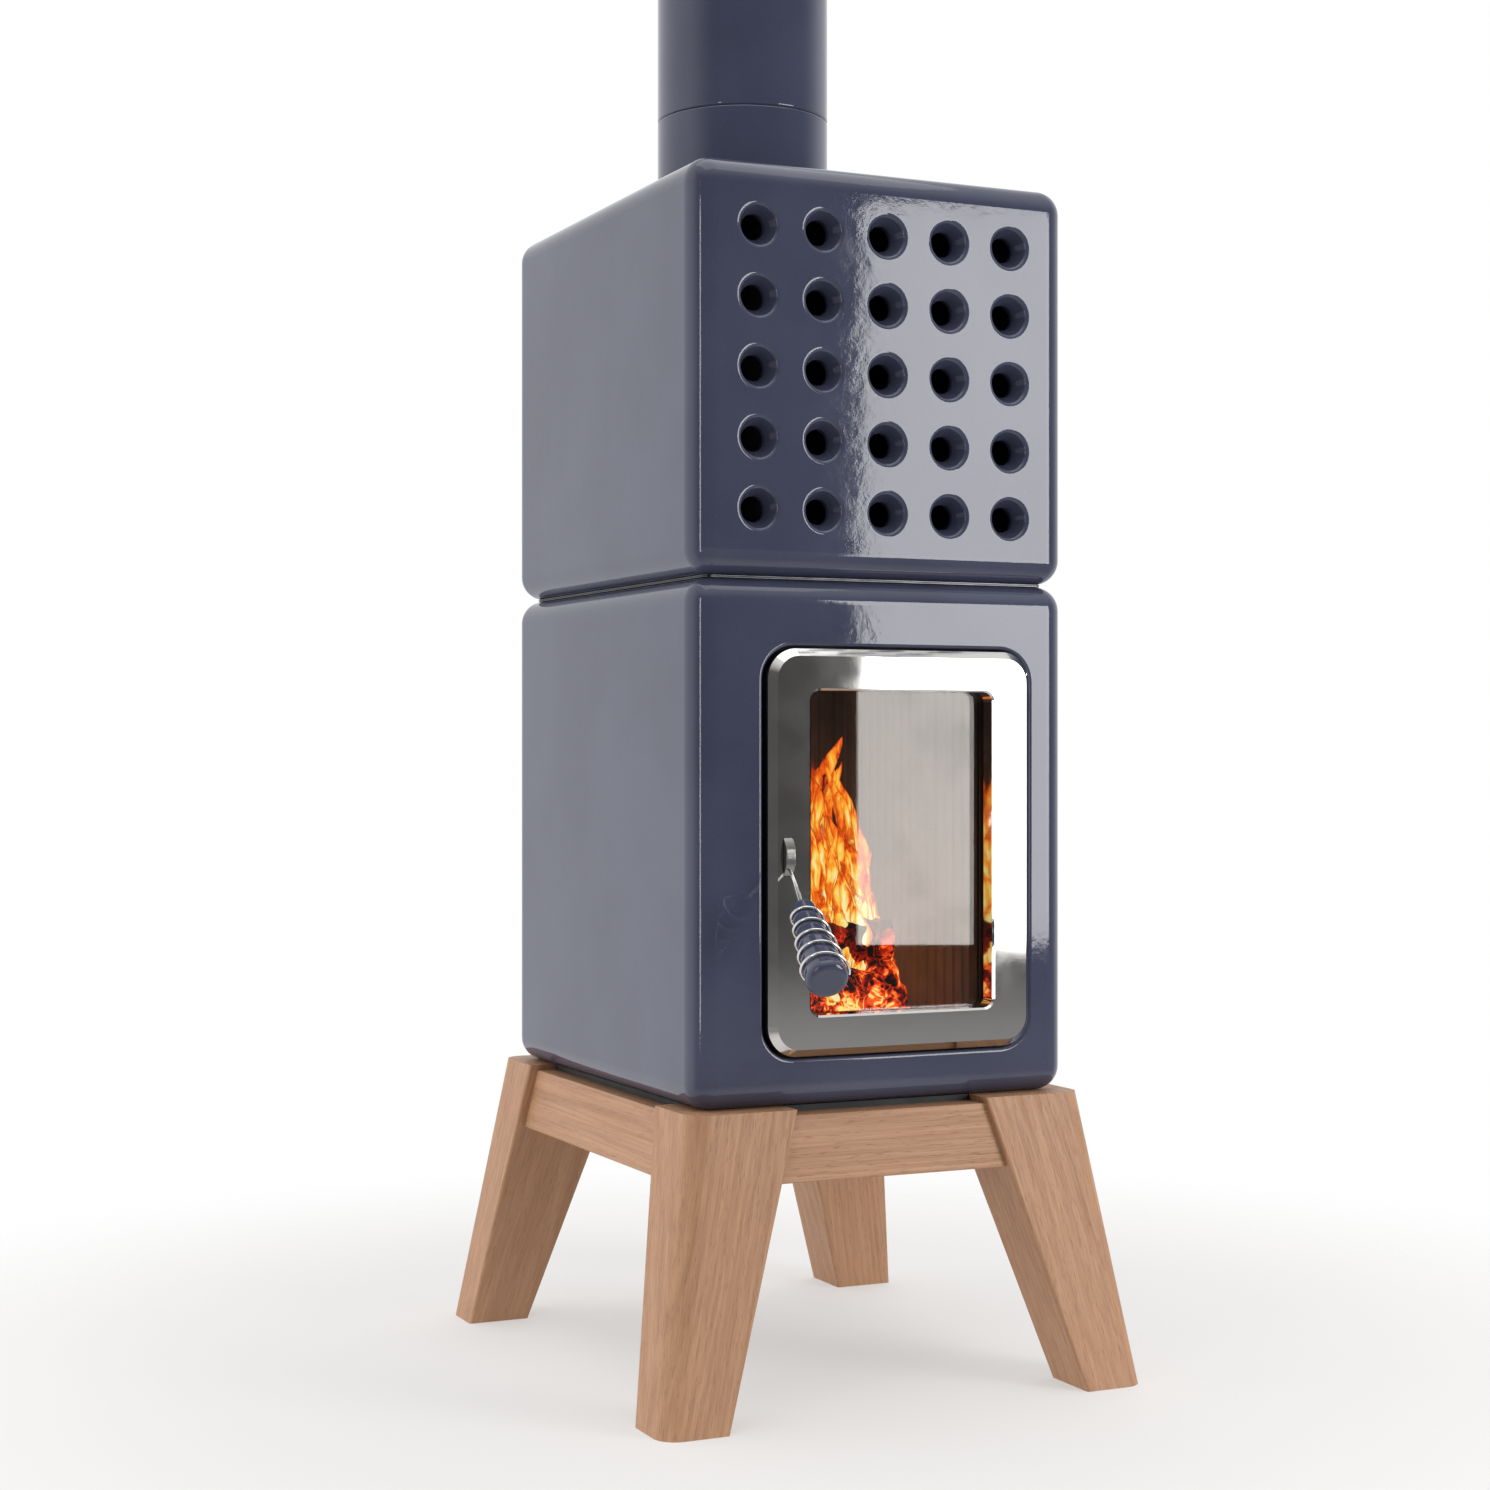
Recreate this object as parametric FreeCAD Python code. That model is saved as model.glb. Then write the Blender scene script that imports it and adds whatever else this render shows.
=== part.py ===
"""Wood burning stove: two glazed ceramic modules on a splayed wooden stand, with a ceramic flue.

Every piece is modelled in millimetres from the lower front edge of the ceramic body:
x runs to the right, y runs back from the ceramic's front face, z runs up from its underside.
save() then moves each piece into the part's own frame, whose origin lies on the floor.
"""

import FreeCAD, Part
import math
import os

from FreeCAD import Placement, Rotation, Vector

# ---- the part's own frame -------------------------------------------------------------
STAND_HEIGHT = 290.0        # floor to the underside of the ceramic
FRONT_TO_ORIGIN = 192.0     # the origin lies this far behind the ceramic's front face
CUT_MARGIN = 1.0            # how far a cutting tool runs past a face

# ---- ceramic body ---------------------------------------------------------------------
BODY_HALF_WIDTH = 205.0
BODY_DEPTH = 496.0
BODY_EDGE_RADIUS = 24.5
CERAMIC_WALL = 22.0
LOWER_HEIGHT = 507.5
PLATE_GAUGE = 0.8           # each of the two steel plates in the seam
MAT_GAUGE = 0.6             # heat-proof mat between them
UPPER_BOTTOM = LOWER_HEIGHT + 2 * PLATE_GAUGE + MAT_GAUGE
UPPER_TOP = 907.0
SEAM_INSET = 18.5
WELL_HALF_WIDTH = 150.0     # openings between the modules
WELL_FRONT = 40.0

# ---- hot-air holes in the upper front -------------------------------------------------
HOLE_COUNT = 5              # rows and columns
HOLE_PITCH_X = 68.8
HOLE_PITCH_Z = 67.5
HOLE_CENTRE_Z = 708.1
HOLE_MOUTH_RADIUS = 23.0
HOLE_THROAT_RADIUS = 12.5
HOLE_TAPER_DEPTH = 15.5
HOLE_LIP_RADIUS = 5.0

# ---- flue -----------------------------------------------------------------------------
FLUE_Y = 336.0
FLUE_TUBE_RADIUS = 92.6
FLUE_TUBE_BORE = 80.6
FLUE_LOWER_HEIGHT = 119.0
FLUE_UPPER_HEIGHT = 300.0
FLUE_EDGE = 2.5
PIPE_RADIUS = 75.0
PIPE_BORE = 73.0
PIPE_STAND_UP = 20.0        # steel pipe above the ceramic tube
COLLAR_GAUGE = 3.0
COLLAR_HEIGHT = 28.0
TOP_HOLE_RADIUS = 80.0

# ---- wooden stand ---------------------------------------------------------------------
LEG_TOP_X = (103.0, 215.0)
LEG_TOP_Y = (-14.0, 74.0)
LEG_FOOT_X = (193.5, 262.0)
LEG_FOOT_Y = (-57.0, 10.0)
LEG_OUTER_RADIUS = 22.0
LEG_EDGE_RADIUS = 3.0
RAIL_TOP = -6.0
RAIL_HEIGHT = 63.0
RAIL_GAUGE = 40.0
RAIL_EDGE = 1.5
FRONT_RAIL_FACE = -8.0      # y of the front rail's top edge
SIDE_RAIL_FACE = 205.5      # x of a side rail's top edge
FRONT_LEAN = (LEG_TOP_Y[0] - LEG_FOOT_Y[0]) / STAND_HEIGHT
SIDE_LEAN = (LEG_FOOT_X[1] - LEG_TOP_X[1]) / STAND_HEIGHT
RAIL_REACH = 42.0           # how far a rail runs into a leg before it is trimmed
TENON_GAUGE = 16.0
TENON_Z = (-58.0, -14.0)
PLATE_INSET = 19.0
WOOD_SCREW_RADIUS = 2.5
WOOD_SCREW_HEAD = 4.5
WOOD_SCREW_LENGTH = 30.0

# ---- firebox --------------------------------------------------------------------------
FIREBOX_X = 13.0            # the door and firebox sit this far right of the ceramic's centre
SHELL_HALF_WIDTH = 152.0
SHELL_FRONT = 29.0
SHELL_BACK = 430.0
SHELL_BOTTOM = 24.0
SHELL_TOP = 484.0
SHELL_GAUGE = 4.0
FRONT_FRAME_GAUGE = 4.0
MOUTH_X = (-90.9, 114.7)
MOUTH_Z = (86.0, 402.5)
MOUTH_CORNER = 10.0
COLLAR_DEPTH = 16.0         # the mouth's return flange
LINING_GAUGE = 20.0
BACK_LINING_GAUGE = 28.0
LINING_FRONT = 64.0
LINING_FLOOR = 56.0
LINING_JOINT = 243.0
LINING_TOP = 430.0
FLUTE_PITCH = 19.0
FLUTE_RADIUS = 5.0
FLUTE_DEPTH = 2.0
BAFFLE_GAUGE = 20.0
BAFFLE_FRONT = 120.0
ASH_BAY_X = (-72.0, 98.0)
ASH_BAY_Y = (130.0, 300.0)
ASH_PAN_X = (-70.0, 46.0)
ASH_PAN_WALL = 1.5
GRATE_REBATE = 8.0
GRATE_BAR_PITCH = 14.0
GRATE_SLOT = 6.0
SUPPORT_WIDTH = 30.0
SUPPORT_Y = (90.0, 410.0)

# ---- primary air ----------------------------------------------------------------------
AIR_X = 72.0
AIR_Y = 215.0
AIR_HOLE_RADIUS = 22.0
AIR_DUCT_GAUGE = 2.0
SHUTTER_HALF = 27.0
SHUTTER_GAUGE = 2.0
SHUTTER_GAP = 0.5
SHUTTER_FLANGE = 26.0
GUIDE_GAUGE = 2.0
AIR_TRAVEL = 44.0
ROD_RADIUS = 3.0
ROD_Z = -26.0
KNOB_RADIUS = 12.0
KNOB_EDGE = 4.0
KNOB_X = (213.0, 235.0)

# ---- door -----------------------------------------------------------------------------
DOOR_X = (-130.8, 156.9)
DOOR_Z = (49.4, 439.9)
DOOR_FRONT = -12.0
DOOR_BACK = 14.0
DOOR_CORNER = 30.0
DOOR_CHAMFER = 7.2
DOOR_SKIN = 5.0
WINDOW_X = (-88.1, 112.0)
WINDOW_Z = (88.6, 399.9)
WINDOW_CORNER = 10.0
WINDOW_CHAMFER = 2.0
GLASS_SEAT = 7.0
GASKET_GAUGE = 1.0
GLASS_GAUGE = 4.0
GLASS_LAP = 6.0
BACK_FRAME_GAUGE = 2.0
SEAL_WIDTH = 8.0
SEAL_SETBACK = 13.3         # window edge to the seal's outer side
SEAL_FACE = 24.7
OPENING_GAP = 2.6           # door to ceramic
OPENING_LIP = 4.0

# ---- hinges ---------------------------------------------------------------------------
HINGE_X = 147.0
HINGE_Y = 0.0
HINGE_Z = (100.0, 390.0)
HINGE_PIN_RADIUS = 3.0
HINGE_CLEARANCE = 0.06
KNUCKLE_RADIUS = 6.5
KNUCKLE_HALF = 6.0
NOTCH_HALF = 9.0
NOTCH_FRONT = -3.4
BOSS_HEIGHT = 20.0
ARM_HALF = 2.0

# ---- latch and handle -----------------------------------------------------------------
LATCH_X = -112.9
LATCH_Y = 7.5
LATCH_Z = 241.1
WHEEL_RADIUS = 26.5
WHEEL_CLEARANCE = 0.4
WHEEL_HALF = 4.8
WHEEL_EDGE = 0.8
SLOT_HALF_WIDTH = 5.15
SLOT_HALF_HEIGHT = 18.2
AXLE_RADIUS = 3.0
AXLE_CLEARANCE = 0.05
CAM_RADIUS = 34.0
CAM_GAUGE = 4.0
CAM_ANGLES = (25.0, 62.0)
STRIKE_GAP = 0.4
CHEEK_GAUGE = 2.0
CHEEK_FOOT = 5.0
ROOT_POINT = Vector(LATCH_X, -17.0, 226.8)
HANDLE_DIRECTION = Vector(-0.177, -0.821, -0.543)
WIRE_RADIUS = 1.2
WIRE_SPREAD = 2.2
GRIP_START = 58.0
GRIP_END = 170.0
GRIP_RADII = (11.5, 20.5)
GRIP_CAP = 7.0
GRIP_NOSE = 2.5
COIL_TURNS = 5
COIL_PITCH = 19.5
COIL_START = 71.0
COIL_WIRE_RADIUS = 1.4


# ---- helpers --------------------------------------------------------------------------
def block(x, y, z):
    """A box between pairs of x, y and z."""
    return Part.makeBox(x[1] - x[0], y[1] - y[0], z[1] - z[0], Vector(x[0], y[0], z[0]))


def rod(start, end, radius):
    """A round bar from one point to another."""
    return Part.makeCylinder(radius, (end - start).Length, start, end - start)


def ring(centre, outer, inner, height):
    """An upright tube standing on its centre point."""
    wall = Part.makeCylinder(outer, height, centre)
    return wall.cut(Part.makeCylinder(inner, height, centre))


def grown(pair, amount):
    """A pair of limits moved apart by the same amount each way."""
    return (pair[0] - amount, pair[1] + amount)


def panel(x, z, corner, y):
    """A plate in the door's plane with round corners, between two depths."""
    plate = block(x, y, z)
    upright = [e for e in plate.Edges if abs(e.tangentAt(e.FirstParameter).y) > 0.99]
    return plate.makeFillet(corner, upright)


def tray(x, y, corner, z):
    """A level plate with round corners, between two heights."""
    plate = block(x, y, z)
    upright = [e for e in plate.Edges if abs(e.tangentAt(e.FirstParameter).z) > 0.99]
    return plate.makeFillet(corner, upright)


def front_edges(shape, y, inside):
    """Edges in the plane y whose middles satisfy the test inside(x, z)."""
    found = []
    for edge in shape.Edges:
        box = edge.BoundBox
        middle = edge.valueAt((edge.FirstParameter + edge.LastParameter) / 2)
        if abs(box.YMin - y) < 0.01 and abs(box.YMax - y) < 0.01 and inside(middle.x, middle.z):
            found.append(edge)
    return found


def circles(shape):
    """The shape's circular edges."""
    return [e for e in shape.Edges if e.Curve.TypeId == "Part::GeomCircle"]


def mirrored_x(shape):
    """The shape's mirror image across the ceramic's middle."""
    return shape.mirror(Vector(0, 0, 0), Vector(1, 0, 0))


def mirrored_y(shape):
    """The shape's mirror image, front to back."""
    return shape.mirror(Vector(0, BODY_DEPTH / 2, 0), Vector(0, 1, 0))


def joined(shapes):
    """Several solids as one."""
    return shapes[0].fuse(shapes[1:]).removeSplitter()


def group(shapes):
    """Several separate solids as one node."""
    return Part.makeCompound(shapes)


def save(name, shape):
    """Moves a piece into the part's frame and writes it."""
    placed = shape.copy()
    placed.translate(Vector(0, -FRONT_TO_ORIGIN, STAND_HEIGHT))
    placed.exportStep("parts/" + name + ".step")


# ---- wooden stand ---------------------------------------------------------------------
def leg_outline(x, y, z):
    """A leg's section at one height: the corner on the stand's outside is well rounded."""
    corners = [
        (Vector(x[0], y[0], z), LEG_EDGE_RADIUS),
        (Vector(x[1], y[0], z), LEG_OUTER_RADIUS),
        (Vector(x[1], y[1], z), LEG_EDGE_RADIUS),
        (Vector(x[0], y[1], z), LEG_EDGE_RADIUS),
    ]
    ways = [Vector(0, -1, 0), Vector(1, 0, 0), Vector(0, 1, 0), Vector(-1, 0, 0), Vector(0, -1, 0)]
    arcs = []
    for (corner, radius), way_in, way_out in zip(corners, ways, ways[1:]):
        start = corner - way_in * radius
        end = corner + way_out * radius
        centre = start + way_out * radius
        middle = centre + (corner - centre).normalize() * radius
        arcs.append((start, middle, end))
    edges = []
    for (start, middle, end), following in zip(arcs, arcs[1:] + arcs[:1]):
        edges.append(Part.Arc(start, middle, end).toShape())
        edges.append(Part.makeLine(end, following[0]))
    return Part.Wire(edges)


def front_right_leg():
    """A tapered, splayed leg between the floor and the ceramic's underside."""
    top = leg_outline(LEG_TOP_X, LEG_TOP_Y, 0.0)
    foot = leg_outline(LEG_FOOT_X, LEG_FOOT_Y, -STAND_HEIGHT)
    return Part.makeLoft([foot, top], True, True)


def rail_section(face, lean, sign):
    """The four corners of a leaning rail's section, as offsets across it and heights."""
    bottom = RAIL_TOP - RAIL_HEIGHT
    low_face = face + sign * lean * RAIL_HEIGHT
    return [
        (face, RAIL_TOP),
        (low_face, bottom),
        (low_face - sign * RAIL_GAUGE, bottom),
        (face - sign * RAIL_GAUGE, RAIL_TOP),
    ]


def front_rail_blank():
    """The front rail before its ends are trimmed to the legs."""
    half = LEG_TOP_X[0] + RAIL_REACH
    points = [Vector(-half, y, z) for y, z in rail_section(FRONT_RAIL_FACE, FRONT_LEAN, -1)]
    face = Part.Face(Part.makePolygon(points + points[:1]))
    bar = face.extrude(Vector(2 * half, 0, 0))
    long_edges = [e for e in bar.Edges if abs(e.tangentAt(e.FirstParameter).x) > 0.99]
    return bar.makeFillet(RAIL_EDGE, long_edges)


def right_rail_blank():
    """The right rail before its ends are trimmed to the legs."""
    start = LEG_TOP_Y[1] - RAIL_REACH + 4
    points = [Vector(x, start, z) for x, z in rail_section(SIDE_RAIL_FACE, SIDE_LEAN, 1)]
    face = Part.Face(Part.makePolygon(points + points[:1]))
    bar = face.extrude(Vector(0, BODY_DEPTH - 2 * start, 0))
    long_edges = [e for e in bar.Edges if abs(e.tangentAt(e.FirstParameter).y) > 0.99]
    return bar.makeFillet(RAIL_EDGE, long_edges)


def front_tenon():
    """The tenon on the front rail's right end."""
    middle = FRONT_RAIL_FACE + RAIL_GAUGE / 2 - 6
    y = (middle - TENON_GAUGE / 2, middle + TENON_GAUGE / 2)
    return block((LEG_TOP_X[0] - 3, LEG_TOP_X[0] + RAIL_REACH), y, TENON_Z)


def side_tenon():
    """The tenon on the right rail's front end."""
    middle = SIDE_RAIL_FACE - RAIL_GAUGE / 2 + 5
    x = (middle - TENON_GAUGE / 2, middle + TENON_GAUGE / 2)
    return block(x, (LEG_TOP_Y[1] - RAIL_REACH + 4, LEG_TOP_Y[1] + 3), TENON_Z)


def wood_screw_places():
    """Where the base plate's screws go into the rails."""
    front = FRONT_RAIL_FACE + RAIL_GAUGE - 5
    side = SIDE_RAIL_FACE - RAIL_GAUGE / 2 - 8
    places = []
    for sign in (-1, 1):
        places.append((sign * 60.0, front))
        places.append((sign * 60.0, BODY_DEPTH - front))
        places.append((sign * side, BODY_DEPTH / 2 - 90))
        places.append((sign * side, BODY_DEPTH / 2 + 90))
    return places


def wood_screw(x, y):
    """A countersunk screw whose head is flush with the base plate's top."""
    shank = Part.makeCylinder(WOOD_SCREW_RADIUS, WOOD_SCREW_LENGTH, Vector(x, y, -WOOD_SCREW_LENGTH))
    depth = WOOD_SCREW_HEAD - WOOD_SCREW_RADIUS
    head = Part.makeCone(WOOD_SCREW_RADIUS, WOOD_SCREW_HEAD, depth, Vector(x, y, -depth))
    return joined([shank, head])


def make_stand():
    """Four legs, four rails with tenons, the base plate and its screws."""
    right_leg = front_right_leg()
    legs_blank = {
        "front_right": right_leg,
        "front_left": mirrored_x(right_leg),
        "back_right": mirrored_y(right_leg),
        "back_left": mirrored_y(mirrored_x(right_leg)),
    }
    tenons = {"front_right": [front_tenon(), side_tenon()]}
    tenons["front_left"] = [mirrored_x(t) for t in tenons["front_right"]]
    tenons["back_right"] = [mirrored_y(t) for t in tenons["front_right"]]
    tenons["back_left"] = [mirrored_y(t) for t in tenons["front_left"]]
    for corner, leg in legs_blank.items():
        save("leg_" + corner, leg.cut(tenons[corner]))

    screws = [wood_screw(x, y) for x, y in wood_screw_places()]
    right_rail = right_rail_blank()
    front_rail = front_rail_blank()
    blanks = {
        "front": (front_rail, ["front_left", "front_right"], 0),
        "back": (mirrored_y(front_rail), ["back_left", "back_right"], 0),
        "left": (mirrored_x(right_rail), ["front_left", "back_left"], 1),
        "right": (right_rail, ["front_right", "back_right"], 1),
    }
    rod_hole = rod(Vector(100, AIR_Y, ROD_Z), Vector(230, AIR_Y, ROD_Z), ROD_RADIUS + 1)
    for side, (blank, corners, tenon_index) in blanks.items():
        rail = blank.cut([legs_blank[corner] for corner in corners])
        rail = joined([rail] + [tenons[corner][tenon_index] for corner in corners])
        rail = rail.cut(screws)
        if side == "right":
            rail = rail.cut(rod_hole)
        save("rail_" + side, rail)

    save("base_plate", base_plate().cut(screws))
    save("base_plate_screws", group(screws))


def base_plate():
    """The steel plate on the rails, notched round the legs' tops."""
    x = (-BODY_HALF_WIDTH + PLATE_INSET, BODY_HALF_WIDTH - PLATE_INSET)
    y = (PLATE_INSET, BODY_DEPTH - PLATE_INSET)
    plate = block(x, y, (RAIL_TOP, 0.0))
    notch = block((LEG_TOP_X[0] - 1, x[1] + CUT_MARGIN), (0.0, LEG_TOP_Y[1] + 1), (RAIL_TOP - 1, 1.0))
    notches = [notch, mirrored_x(notch), mirrored_y(notch), mirrored_y(mirrored_x(notch))]
    air_hole = Part.makeCylinder(AIR_HOLE_RADIUS, 10, Vector(AIR_X, AIR_Y, RAIL_TOP - 2))
    return plate.cut(notches + [air_hole])


# ---- ceramic modules ------------------------------------------------------------------
def ceramic_module(bottom, top):
    """A rounded hollow box with a 22 mm wall and wide openings in its floor."""
    outside = block((-BODY_HALF_WIDTH, BODY_HALF_WIDTH), (0.0, BODY_DEPTH), (bottom, top))
    outside = outside.makeFillet(BODY_EDGE_RADIUS, outside.Edges)
    inside_x = (CERAMIC_WALL - BODY_HALF_WIDTH, BODY_HALF_WIDTH - CERAMIC_WALL)
    inside_y = (CERAMIC_WALL, BODY_DEPTH - CERAMIC_WALL)
    inside = tray(inside_x, inside_y, 8.0, (bottom + CERAMIC_WALL, top - CERAMIC_WALL))
    return outside.cut([inside, well(bottom - CUT_MARGIN, bottom + CERAMIC_WALL + CUT_MARGIN)])


def well(bottom, top):
    """The cutting tool for an opening between the modules."""
    x = (-WELL_HALF_WIDTH, WELL_HALF_WIDTH)
    return tray(x, (WELL_FRONT, BODY_DEPTH - WELL_FRONT), 12.0, (bottom, top))


def lower_ceramic():
    """The lower module, with the door opening and its rounded lip."""
    module = ceramic_module(0.0, LOWER_HEIGHT)
    module = module.cut(well(LOWER_HEIGHT - CERAMIC_WALL - CUT_MARGIN, LOWER_HEIGHT + CUT_MARGIN))
    x = grown(DOOR_X, OPENING_GAP)
    z = grown(DOOR_Z, OPENING_GAP)
    opening = panel(x, z, DOOR_CORNER + OPENING_GAP, (-CUT_MARGIN, CERAMIC_WALL + CUT_MARGIN))
    module = module.cut(opening)
    within = grown(x, 1.0)
    lip = front_edges(module, 0.0, lambda px, pz: within[0] < px < within[1] and z[0] - 1 < pz < z[1] + 1)
    return module.makeFillet(OPENING_LIP, lip)


def air_hole_tool():
    """The cutting tool for one hot-air hole: rounded lip, taper and throat, along +Y from y = 0."""
    slope = math.atan2(HOLE_MOUTH_RADIUS - HOLE_THROAT_RADIUS, HOLE_TAPER_DEPTH)
    turn = math.pi / 2 - slope
    lip_r = HOLE_LIP_RADIUS
    lip_end = (HOLE_MOUTH_RADIUS - lip_r * math.sin(turn), lip_r * (1 - math.cos(turn)))
    lip_mid = (HOLE_MOUTH_RADIUS - lip_r * math.sin(turn / 2), lip_r * (1 - math.cos(turn / 2)))
    corners = [
        (0.0, -CUT_MARGIN),
        (HOLE_MOUTH_RADIUS, -CUT_MARGIN),
        (HOLE_MOUTH_RADIUS, 0.0),
    ]
    far = CERAMIC_WALL + CUT_MARGIN
    tail = [lip_end, (HOLE_THROAT_RADIUS, HOLE_TAPER_DEPTH), (HOLE_THROAT_RADIUS, far), (0.0, far)]
    start = [Vector(r, d, 0) for r, d in corners]
    end = [Vector(r, d, 0) for r, d in tail]
    edges = [Part.makeLine(start[0], start[1]), Part.makeLine(start[1], start[2])]
    edges.append(Part.Arc(start[2], Vector(lip_mid[0], lip_mid[1], 0), end[0]).toShape())
    edges.extend(Part.makeLine(a, b) for a, b in zip(end, end[1:] + start[:1]))
    outline = Part.Face(Part.Wire(edges))
    return outline.revolve(Vector(0, 0, 0), Vector(0, 1, 0), 360)


def upper_ceramic():
    """The upper module, with its square field of holes and the flue's hole on top."""
    module = ceramic_module(UPPER_BOTTOM, UPPER_TOP)
    tool = air_hole_tool()
    tools = [Part.makeCylinder(TOP_HOLE_RADIUS, 60, Vector(0, FLUE_Y, UPPER_TOP - 50))]
    middle = (HOLE_COUNT - 1) / 2
    for row in range(HOLE_COUNT):
        for column in range(HOLE_COUNT):
            hole = tool.copy()
            x = (column - middle) * HOLE_PITCH_X
            z = HOLE_CENTRE_Z + (row - middle) * HOLE_PITCH_Z
            hole.translate(Vector(x, 0, z))
            tools.append(hole)
    return module.cut(tools)


def seam_sheet(bottom, gauge, inset, corner):
    """One flat ring in the seam between the modules."""
    x = (-BODY_HALF_WIDTH + inset, BODY_HALF_WIDTH - inset)
    sheet = tray(x, (inset, BODY_DEPTH - inset), corner, (bottom, bottom + gauge))
    return sheet.cut(well(bottom - CUT_MARGIN, bottom + gauge + CUT_MARGIN))


def make_ceramic():
    """Both modules and what lies in the seam between them."""
    save("lower_ceramic_body", lower_ceramic())
    save("upper_ceramic_body", upper_ceramic())
    mat_bottom = LOWER_HEIGHT + PLATE_GAUGE
    save("seam_plate_lower", seam_sheet(LOWER_HEIGHT, PLATE_GAUGE, SEAM_INSET, 7.0))
    save("seam_mat", seam_sheet(mat_bottom, MAT_GAUGE, SEAM_INSET + 3, 5.0))
    save("seam_plate_upper", seam_sheet(mat_bottom + MAT_GAUGE, PLATE_GAUGE, SEAM_INSET, 7.0))


# ---- flue -----------------------------------------------------------------------------
def flue_tube(bottom, height):
    """One ceramic flue tube with softened end edges."""
    tube = ring(Vector(0, FLUE_Y, bottom), FLUE_TUBE_RADIUS, FLUE_TUBE_BORE, height)
    rims = [e for e in circles(tube) if e.Curve.Radius > FLUE_TUBE_RADIUS - 1]
    return tube.makeFillet(FLUE_EDGE, rims)


def make_flue():
    """The ceramic tubes, the steel smoke pipe inside them, its collar and centring rings."""
    tube_top = UPPER_TOP + FLUE_LOWER_HEIGHT + FLUE_UPPER_HEIGHT
    save("flue_tube_lower", flue_tube(UPPER_TOP, FLUE_LOWER_HEIGHT))
    save("flue_tube_upper", flue_tube(UPPER_TOP + FLUE_LOWER_HEIGHT, FLUE_UPPER_HEIGHT))
    pipe_height = tube_top + PIPE_STAND_UP - SHELL_TOP
    save("smoke_pipe", ring(Vector(0, FLUE_Y, SHELL_TOP), PIPE_RADIUS, PIPE_BORE, pipe_height))
    collar_radius = PIPE_RADIUS + COLLAR_GAUGE
    save("smoke_collar", ring(Vector(0, FLUE_Y, SHELL_TOP), collar_radius, PIPE_RADIUS, COLLAR_HEIGHT))
    spacers = []
    for height in (UPPER_TOP + 40, tube_top - 24):
        spacers.append(ring(Vector(0, FLUE_Y, height), FLUE_TUBE_BORE, PIPE_RADIUS, 12.0))
    save("flue_centring_rings", group(spacers))


# ---- firebox --------------------------------------------------------------------------
def shell_x(inset):
    """The firebox's left and right limits, moved inwards."""
    return (FIREBOX_X - SHELL_HALF_WIDTH + inset, FIREBOX_X + SHELL_HALF_WIDTH - inset)


def firebox_shell():
    """A welded steel box, open at the front, with holes for smoke and air."""
    outside = block(shell_x(0), (SHELL_FRONT, SHELL_BACK), (SHELL_BOTTOM, SHELL_TOP))
    z = (SHELL_BOTTOM + SHELL_GAUGE, SHELL_TOP - SHELL_GAUGE)
    inside = block(shell_x(SHELL_GAUGE), (SHELL_FRONT - CUT_MARGIN, SHELL_BACK - SHELL_GAUGE), z)
    smoke_hole = Part.makeCylinder(PIPE_BORE, 20, Vector(0, FLUE_Y, SHELL_TOP - 10))
    air_hole = Part.makeCylinder(AIR_HOLE_RADIUS, 20, Vector(AIR_X, AIR_Y, SHELL_BOTTOM - 5))
    return outside.cut([inside, smoke_hole, air_hole])


def latch_slot_limits():
    """The x and z limits of the slot that the latch passes through."""
    x = (LATCH_X - WHEEL_HALF - 3.3, LATCH_X + WHEEL_HALF + CAM_GAUGE + 1.1)
    z = (LATCH_Z - CAM_RADIUS - 2, LATCH_Z + CAM_RADIUS + 4)
    return x, z


def front_frame():
    """The plate round the firebox's mouth, with a return flange and the latch slot."""
    y = (SHELL_FRONT - FRONT_FRAME_GAUGE, SHELL_FRONT)
    plate = block(shell_x(0), y, (SHELL_BOTTOM, SHELL_TOP))
    through = (y[0] - CUT_MARGIN, y[0] + COLLAR_DEPTH + CUT_MARGIN)
    flange = panel(grown(MOUTH_X, 4.0), grown(MOUTH_Z, 4.0), MOUTH_CORNER + 4, (y[0], y[0] + COLLAR_DEPTH))
    mouth = panel(MOUTH_X, MOUTH_Z, MOUTH_CORNER, through)
    slot_x, slot_z = latch_slot_limits()
    slot = block(slot_x, (y[0] - 1, y[1] + 1), slot_z)
    return joined([plate, flange]).cut([mouth, slot])


def strike_pocket():
    """A pressed steel pocket that closes the latch slot off from the fire."""
    x, z = latch_slot_limits()
    depth = (SHELL_FRONT, SHELL_FRONT + 21)
    outside = block(grown(x, 2.0), depth, grown(z, 2.0))
    return outside.cut(block(x, (depth[0] - 1, depth[1] - 2), z))


def strike_plate():
    """The hardened block that the latch cam wedges under."""
    x, z = latch_slot_limits()
    lowest = LATCH_Z + CAM_RADIUS * math.sin(math.radians(CAM_ANGLES[1])) + STRIKE_GAP
    return block((x[0] + 0.5, x[1] - 0.5), (SHELL_FRONT - 3.8, SHELL_FRONT + 18), (lowest, z[1]))


def fluted(panel_shape, start, end, place):
    """Cuts upright flutes into a lining panel; place(offset) is a flute's foot on its face."""
    count = int((end - start - FLUTE_PITCH) // FLUTE_PITCH) + 1
    margin = (end - start - (count - 1) * FLUTE_PITCH) / 2
    tools = []
    for index in range(count):
        foot = place(start + margin + index * FLUTE_PITCH)
        tools.append(Part.makeCylinder(FLUTE_RADIUS, SHELL_TOP, foot))
    return panel_shape.cut(tools)


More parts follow.
